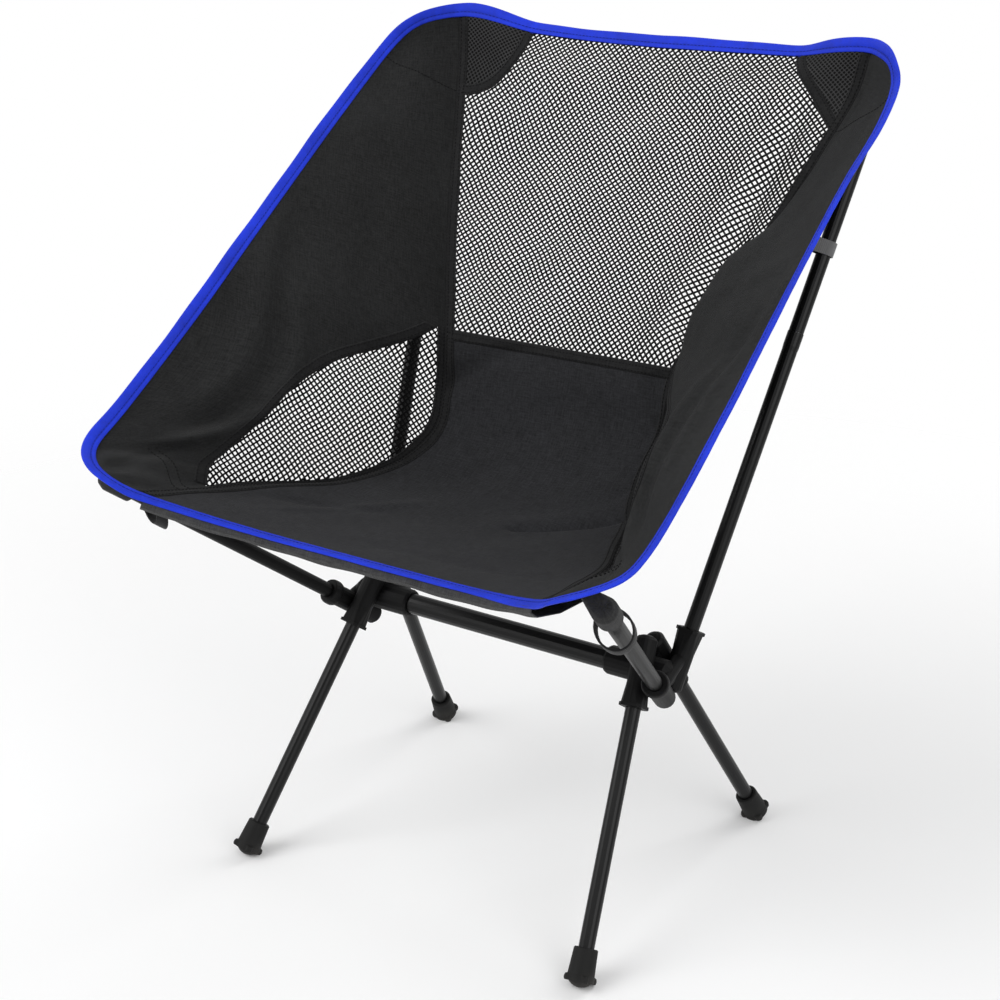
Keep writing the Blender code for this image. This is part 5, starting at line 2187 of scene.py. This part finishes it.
@dataclass
class Studio:
    """The camera, the pale floor and the soft light.

    The floor's fade is where it starts and ends, in metres from the middle. The surround has one
    strength for what it lights and another where the camera sees it.
    """

    eye: tuple[float, float, float] = (0.7983, -1.14441, 0.87739)
    ahead: tuple[float, float, float] = (-0.53516, 0.75874, -0.37137)
    right: tuple[float, float, float] = (0.82250, 0.56823, -0.02431)
    focal: float = 1.77648
    floor_size: float = 8.0
    floor_fade: tuple[float, float] = (0.55, 1.5)
    film: float = 36.0
    lamps_aim: tuple[float, float, float] = (0.0, 0.0, 0.35)
    surround: tuple[float, float] = (0.62, 1.0)

    def build(self) -> None:
        """Makes the whole studio."""
        self.add_camera()
        self.add_floor()
        self.add_lights()
        bpy.context.scene.view_settings.view_transform = "Standard"

    def add_camera(self) -> None:
        """The camera, from its own right and backward directions. The focal is in film widths."""
        data = bpy.data.cameras.new("camera")
        data.sensor_width = self.film
        data.lens = self.film * self.focal
        data.clip_start, data.clip_end = 0.05, 100.0
        back = -unit(np.array(self.ahead))
        right = unit(np.array(self.right) - back * np.dot(np.array(self.right), back))
        bpy.context.scene.camera = self.posed("camera", data, self.eye, right, back)

    @staticmethod
    def posed(name: str, data: Any, where: Sequence[float], right: Array, back: Array) -> Any:
        """An object at a place, turned so that its own X is right and its own Z is back.

        Args:
            name: the object's name.
            data: its camera or light.
            where: its place.
            right: its own X, at length 1.
            back: its own Z, at length 1.

        Returns:
            The object.
        """
        item = bpy.data.objects.new(name, data)
        bpy.context.scene.collection.objects.link(item)
        matrix = np.eye(4)
        matrix[:3, 0], matrix[:3, 1], matrix[:3, 2] = right, np.cross(back, right), back
        matrix[:3, 3] = where
        item.matrix_world = Matrix(matrix.tolist())
        return item

    def add_floor(self) -> None:
        """A plain pale floor that keeps the chair's shadow and fades out away from it."""
        half = self.floor_size / 2
        mesh = bpy.data.meshes.new("floor")
        corners = [(-half, -half, 0), (half, -half, 0), (half, half, 0), (-half, half, 0)]
        mesh.from_pydata(corners, [], [(0, 1, 2, 3)])
        graph = Graph("floor")
        tone = graph.noise(0.8, 2.0)
        colour = graph.mix((0.94, 0.94, 0.94), (0.97, 0.97, 0.97), tone)
        x, y, _ = graph.parts(graph.place())
        away = (x * x + y * y) ** 0.5
        plain = {"Roughness": 0.9, "Specular IOR Level": 0.1}
        near = 1.0 - away.step(*self.floor_fade)
        mesh.materials.append(graph.finish(plain, {"Base Color": colour, "Alpha": near}))
        floor = bpy.data.objects.new("floor", mesh)
        bpy.context.scene.collection.objects.link(floor)

    def add_lights(self) -> None:
        """A wide key light on the left, a fill on the right, one from behind, and a surround."""
        self.add_lamp("key", (-1.9, -2.2, 2.6), 2.4, 62.0)
        self.add_lamp("fill", (2.6, -1.2, 1.7), 2.2, 30.0)
        self.add_lamp("rim", (0.9, 2.6, 2.2), 1.8, 26.0)
        world = bpy.data.worlds.new("surround")
        bpy.context.scene.world = world
        world.use_nodes = True
        tree = world.node_tree
        background = tree.nodes["Background"]
        background.inputs["Color"].default_value = (1, 1, 1, 1)
        path = tree.nodes.new("ShaderNodeLightPath")
        strength = tree.nodes.new("ShaderNodeMapRange")
        strength.inputs["To Min"].default_value = self.surround[0]
        strength.inputs["To Max"].default_value = self.surround[1]
        tree.links.new(path.outputs["Is Camera Ray"], strength.inputs["Value"])
        tree.links.new(strength.outputs["Result"], background.inputs["Strength"])

    def add_lamp(
        self, name: str, where: tuple[float, float, float], size: float, power: float
    ) -> None:
        """A square area light that looks at the chair's middle.

        Args:
            name: the lamp's name.
            where: its place.
            size: its side in metres.
            power: its power in watts.
        """
        data = bpy.data.lights.new(name, "AREA")
        data.size = size
        data.energy = power
        back = unit(np.array(where) - np.array(self.lamps_aim))
        right = unit(np.cross([0.0, 0.0, 1.0], back))
        self.posed(name, data, where, right, back)


def main() -> None:
    """Builds the studio, then the chair's pieces in order."""
    logging.basicConfig(level=logging.INFO, format="%(name)s %(message)s")
    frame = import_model()
    Studio().build()
    finishes = Finishes()
    FramePaint(finishes).apply(frame["nodes"])
    cloth = SlingCloth(finishes)
    cloth.build()
    EdgeTape(finishes).build()
    SlingNets(cloth).build()
    Hems(cloth).build()
    PoleFittings(finishes).build()


if __name__ == "__main__":
    main()
